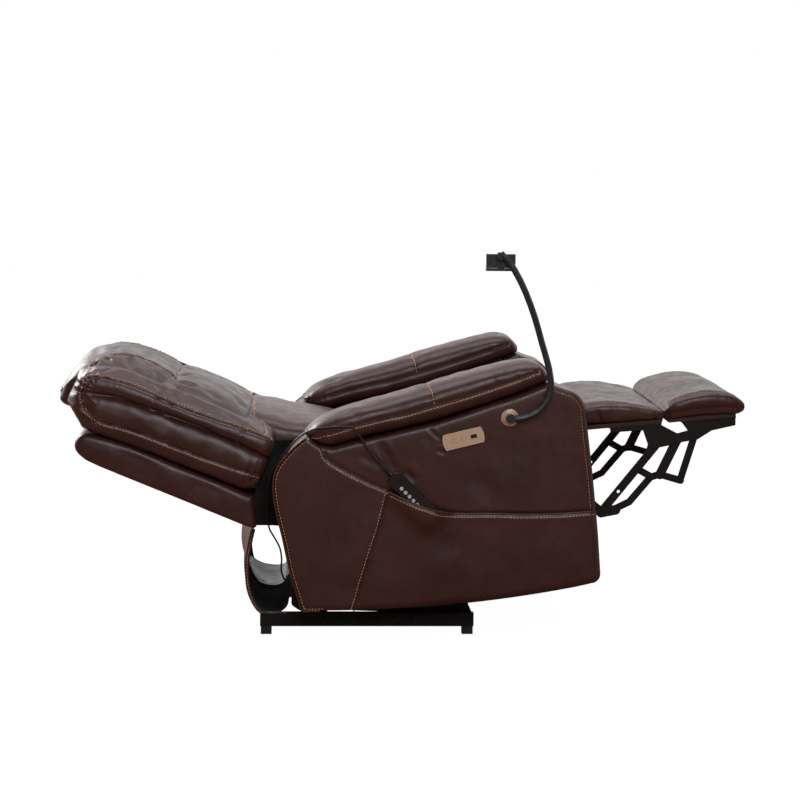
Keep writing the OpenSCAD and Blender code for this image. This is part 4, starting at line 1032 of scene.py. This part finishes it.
LUMBAR_EDGE = np.array([(229, -232, 2), (232, -200, 4), (232, 0, 12), (232, 200, 4), (229, 232, 2)]) * MM


def head_drop(y):
    """How far the pillow's top falls off towards its sides."""
    places, drops = np.array(HEAD_DROP).T * MM
    return np.interp(y, places, drops)


def back_drop(y):
    """How far the lower cushions' tops fall off towards their sides."""
    return 0.260 * y * y


def head_shell():
    """The ruched head pillow."""
    shell = cushion(HEAD_ROWS, 8.0, 240, 96, head_drop)
    p = shell.v
    h = waved(p, 0.0022, 0.24, 31) + folds(p, HEAD_FOLDS)
    lines = [smooth_line(HEAD_SEAM * (1, way, 1), 0.005) for way in (-1, 1)]
    for k, line in enumerate(lines):
        part = line[(line[:, 0] < 0.69) & (line[:, 0] > 0.47)]
        h += groove(p, line, 0.0045, 0.0048, 0.0025, 0.018)
        h += puckers(p, line, 0.0026, 0.0115, 0.019, 33 + k) + puckers(p, part, 0.0022, 0.009, 0.024, 35 + k)
    shell.settle(h)
    for way, line in zip((-1, 1), lines):
        shell.stitch(line + (0, way * 0.007, 0))
        shell.pipe(line, 0.0018)
    return shell.to(back)


def mid_shell():
    shell = cushion(MID_ROWS, 9.0, 200, 84, back_drop)
    p = shell.v
    edge = smooth_line(MID_EDGE)
    shell.settle(waved(p, 0.0026, 0.26, 41) + folds(p, MID_FOLDS) + groove(p, edge, 0.002, 0.005)
                 + puckers(p, edge, 0.0009, 0.020, 0.022, 43))
    return shell.pipe(edge, 0.002).to(back)


def lumbar_shell():
    shell = cushion(LUMBAR_ROWS, 8.0, 180, 84, back_drop)
    p = shell.v
    edge = smooth_line(LUMBAR_EDGE)
    shell.settle(waved(p, 0.0024, 0.22, 51) + folds(p, LUMBAR_FOLDS) + groove(p, edge, 0.002, 0.005)
                 + puckers(p, edge, 0.0012, 0.022, 0.026, 53))
    return shell.stitch(edge - (0.006, 0, 0)).to(back)


PANEL_N = (-0.258, -0.180)
PANEL_HALF = 0.351


def panel_relief(p, d):
    return 0.0015 * (1 + waves(p, 0.18, 61)) * ramp(d, 0.004, 0.03) - 0.003 * ramp(d, 0.0, 0.038)


def back_panel_shell():
    """The outer back: a broad flat shell with a rounded head end."""
    n0, n1 = PANEL_N
    low = [(0.109, n0 + 0.003), (0.116, n0 - 0.004), (0.140, n0 - 0.006), (0.300, n0 - 0.006),
           (0.494, n0 - 0.007), (0.560, n0 - 0.007), (0.600, n0 - 0.005)]
    end = arc(0.609, (n0 + n1) / 2 - 0.006, 0.035, -66, 66, 12, 0.033)
    high = [(0.600, n1 - 0.010), (0.560, n1 - 0.004), (0.490, n1), (0.152, n1), (0.145, n1 - 0.004),
            (0.112, n0 + 0.012)]
    outline = even(low + end + high, 0.006, closed=True)
    return slab(outline, -PANEL_HALF, PANEL_HALF, 0.016, back, panel_relief, 0.006, 0.008, 40)


place_pairs("back", ("back_wing", roll_shell(), "side_roll", {"padded": 0.85}))
place("head_cushion", head_shell(), "back", ["head_pillow"], padded=0.8)
place("middle_cushion", mid_shell(), "back", ["mid_pillow"], padded=0.85)
place("lumbar_cushion", lumbar_shell(), "back", ["lumbar_pad"], padded=0.8)
place("back_cover", back_panel_shell(), "back", ["outer_back_panel"], weld=True, padded=1.0)


# ---- seat and footrest ----
def deck(x):
    """The height of the seat springs."""
    return 0.290 + (x - 0.200) * 0.098


SEAT_ROWS = np.array([(216 + 564 * q, 286 * w, lo, hi) for q, w, lo, hi in (
    (0, 0.86, 35, 72), (0.02, 0.95, 14, 93), (0.07, 0.985, 2, 107), (0.2, 0.99, 0, 113),
    (0.35, 1, 0, 118), (0.5, 1, 0, 121), (0.65, 1, 0, 121), (0.8, 1, 0, 119), (0.9, 0.99, 2, 115),
    (0.955, 0.985, 11, 106), (0.985, 0.96, 28, 92), (1, 0.9, 44, 72))]) * MM


def seat_shell():
    """The seat cushion, with a seam along each side of its top."""
    rows = SEAT_ROWS.copy()
    rows[:, 2:] += (deck(rows[:, 0]) + 0.0003)[:, None]
    shell = cushion(rows, 4.5, 180, 100)
    p = shell.v
    h = waved(p, 0.0025, 0.25, 71)
    xs = np.linspace(0.235, 0.775, 9)
    lines = [smooth_line(np.stack([xs, np.full(9, y), np.interp(xs, rows[:, 0], rows[:, 3])], -1))
             for y in (-0.19, 0.19)]
    for line in lines:
        h += groove(p, line, 0.005, 0.006, 0.003, 0.03) + puckers(p, line, 0.0009, 0.024, 0.03, 73)
    shell.settle(h)
    for line in lines:
        for off in (-0.006, 0.006):
            shell.stitch(line + (0, off, 0))
    return shell.to(room)


BOARD_TOP = 0.4013
MID_PAD = np.array([(803 + 231 * q, 274 * w, lo, hi) for q, w, lo, hi in (
    (0, 0.94, 20, 45), (0.03, 0.975, 6, 54), (0.1, 0.99, 0, 60), (0.3, 1, 0, 61), (0.5, 1, 0, 56),
    (0.7, 1, 0, 46), (0.86, 0.99, 0, 35), (0.95, 0.98, 1, 27), (1, 0.95, 4, 17))]) * MM
OTT_PAD = np.array([(1040 + 210 * q, 278 * w, lo, hi) for q, w, lo, hi in (
    (0, 0.95, 6, 26), (0.05, 0.985, 1, 42), (0.14, 1, 0, 54), (0.3, 1, 0, 62), (0.5, 1, 0, 66),
    (0.7, 1, 0, 63), (0.85, 1, 0, 55), (0.93, 0.99, 1, 45), (0.98, 0.975, 5, 33), (1, 0.95, 11, 24))]) * MM


def rest_shell(rows, seed, second=False):
    """A footrest pad: crowned top, piped seam along both sides of the top, full sides below it."""
    rows = rows.copy()
    rows[:, 2:] += BOARD_TOP
    shell = cushion(rows, 7.0, 190, 56, lambda y: 0.004 * (y / 0.27) ** 2)
    p = shell.v
    h = waved(p, 0.0016, 0.16, seed, 0.0006, 0.06)
    xs = np.linspace(rows[0, 0] + 0.004, rows[-1, 0] - 0.004, 10)
    wide, low, high = (np.interp(xs, rows[:, 0], rows[:, k]) for k in (1, 2, 3))
    seams = []
    for k, way in enumerate((-1, 1)):
        line = smooth_line(np.stack([xs, way * wide * 0.93, high - 0.06 * (high - low) - 0.004], -1), 0.005)
        seams.append(line)
        h += groove(p, line, 0.003, 0.0042, 0.003, 0.016)
        h += puckers(p, line, 0.0008, 0.022, 0.02, seed + 2 + k)
        if second:
            line = smooth_line(np.stack([xs, way * wide, low + 0.30 * (high - low)], -1), 0.005)
            h += groove(p, line, 0.008, 0.006, 0.003, 0.012)
        for x in (rows[0, 0] + 0.045, rows[-1, 0] - 0.03):
            z = float(np.interp(x, rows[:, 0], rows[:, 3]))
            a, b = (x, way * 0.268, z - 0.022), (x + 0.006, way * 0.275, z - 0.050)
            h += folds(p, [(np.array(a) / MM, np.array(b) / MM, 3, 6)])
        front = rows[-1, 0] - 0.004
        tip = np.array([(front - 0.03, way * 0.262, rows[-1, 3]), (front, way * 0.255, rows[-1, 3] - 0.004)])
        h += puckers(p, tip, 0.0025, 0.010, 0.02, seed + 6)
    shell.settle(h)
    for way, line in zip((-1, 1), seams):
        shell.pipe(line, 0.0019)
        shell.stitch(line + (0, -way * 0.007, 0), FINE_THREAD)
    return shell.to(room)


place("seat_cover", seat_shell(), "chassis", ["seat_cushion"], padded=0.85)
place("footrest_mid_cover", rest_shell(MID_PAD, 81), "mid_rest", ["mid_pad"], padded=0.85)
place("footrest_end_cover", rest_shell(OTT_PAD, 91, True), "ottoman", ["ottoman_pad"], padded=0.85)


# ---- rear flap and linings ----
FLAP_W, FLAP_T = 0.472, 0.003
FLAP_NEAR = np.array([(-311, 290), (-322, 244), (-329, 196), (-330, 156), (-325, 114), (-313, 84), (-296, 62),
                      (-270, 51), (-242, 52), (-222, 68), (-216, 92), (-202, 114), (-172, 123)]) * MM
FLAP_FAR = np.array([(-311, 290), (-334, 248), (-348, 206), (-349, 166), (-338, 130), (-319, 104), (-295, 89),
                     (-268, 83), (-242, 82), (-224, 88), (-214, 102), (-199, 117), (-172, 123)]) * MM
CREASE_Y = -0.030    # where the flap's inner side folds along its length, dull on the near side of the fold
HEM_LINE = np.array([(-313, 282), (-322, 242), (-329, 196), (-330, 156), (-325, 113), (-313, 80), (-297, 56),
                     (-276, 42), (-252, 40), (-228, 43)]) * MM
HEM_Y, HEM_W, HEM_T = 0.2365, 0.012, 0.004


def square_to(line):
    """The directions square to a line of the side view."""
    d = np.gradient(line, axis=0)
    d /= np.linalg.norm(d, axis=1, keepdims=True)
    return np.stack([-d[:, 1], d[:, 0]], -1)


def hem_band(line, way):
    """The turned and stitched border of the flap, a band that hangs in front of the base rail."""
    wide, deep = squircle(16, 4)
    rings = []
    for (x, z), (nx, nz) in zip(line, square_to(line)):
        rings.append(np.stack([x + nx * HEM_W / 2 * wide, way * (HEM_Y + HEM_T / 2 + HEM_T / 2 * deep),
                               z + nz * HEM_W / 2 * wide], -1))
    return loft(rings)


def rear_flap():
    """A loose leather sling: brown outside, black inside, with a bound and stitched edge."""
    near_line, far_line = spline(FLAP_NEAR, 70), spline(FLAP_FAR, 70)
    line = 0.5 * (near_line + far_line)
    n, cols = len(line), 48
    size = n * cols
    skew = np.linspace(-0.5, 0.5, cols)
    ys = np.linspace(-FLAP_W / 2, FLAP_W / 2, cols)
    t = np.linspace(0, 1, n)[:, None]
    sag = np.sin(math.pi * t)
    w = 0.004 * np.sin(ys * 19 + 3 * t) + 0.0015 * np.sin(ys * 41 + 9 * t)
    w = sag * (w + 0.006 * np.exp(-((ys - CREASE_Y - 0.03 * t) / 0.012) ** 2))
    skins = []
    for side in (-1, 1):
        xz = line[:, None] + (far_line - near_line)[:, None] * skew[:, None]
        xz = xz + square_to(line)[:, None] * (side * FLAP_T / 2 + w)[..., None]
        skins.append(np.stack([xz[..., 0], np.broadcast_to(ys, w.shape), xz[..., 1]], -1).reshape(-1, 3))
    outer = quads(n, cols)
    inner = [(a + size, d + size, c + size, b + size) for a, b, c, d in outer]
    sides = [k for i in range(n - 1) for k in (i * cols, (i + 1) * cols - 1)]
    ends = [k for j in range(cols - 1) for k in (j, (n - 1) * cols + j)]
    rim = [(k, k + cols, k + cols + size, k + size) for k in sides]
    rim += [(k, k + 1, k + 1 + size, k + size) for k in ends]
    shell = Shell(np.concatenate(skins), outer + inner + rim)
    shiny = [ys[j] > CREASE_Y + 0.03 * i / n for i in range(n - 1) for j in range(cols - 1)]
    shell.m = [0] * len(outer) + [2 if s else 3 for s in shiny] + [0] * len(rim)
    hem = spline(HEM_LINE, 60)
    for way in (-1, 1):
        band = hem_band(hem, way).settle()
        shell.add(band, 0)
        shell.surface = band.surface
        shell.stitch(np.insert(hem, 1, way * (HEM_Y + 0.004), axis=1))
    obj = place("rear_sling", shell, None, ["rear_flap"], "leather_flap", (LEATHER, THREAD, LINING, LINING_AND_SHADE_CLOTH))
    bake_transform(obj)


rear_flap()


def gap_shade_sheet(side, way):
    """A near-black sheet that paints the shade in the gap between the back's lower end and the arm."""
    rows, cols = 24, 20
    a = back(np.linspace(0.186, 0.124, rows), 0.340 * way, np.linspace(-0.03, -0.257, rows))
    b = room(np.linspace(0.075, -0.026, rows), 0.2865 * way, np.linspace(0.432, 0.200, rows))
    t = np.linspace(0, 1, cols)[None, :, None]
    v = a[:, None] * (1 - t) + b[:, None] * t
    t = t[..., 0]
    i = np.arange(rows)[:, None]
    v[..., 1] += way * 0.005 * np.sin(math.pi * t) * np.sin(i * 0.8 + t * 5)
    v[..., 2] += 0.004 * np.sin(math.pi * t) * np.sin(i * 0.6)
    v = v.reshape(-1, 3)
    faces = quads(rows, cols)
    shell = Shell(v, faces).add(Shell(v + (0, -way * 0.002, 0), [f[::-1] for f in faces]))
    obj = place("gap_shade_sheet_" + side, shell, None, slot="leather_flap", materials=(LINING_AND_SHADE_CLOTH,))
    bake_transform(obj)


gap_shade_sheet("right", -1)
gap_shade_sheet("left", 1)
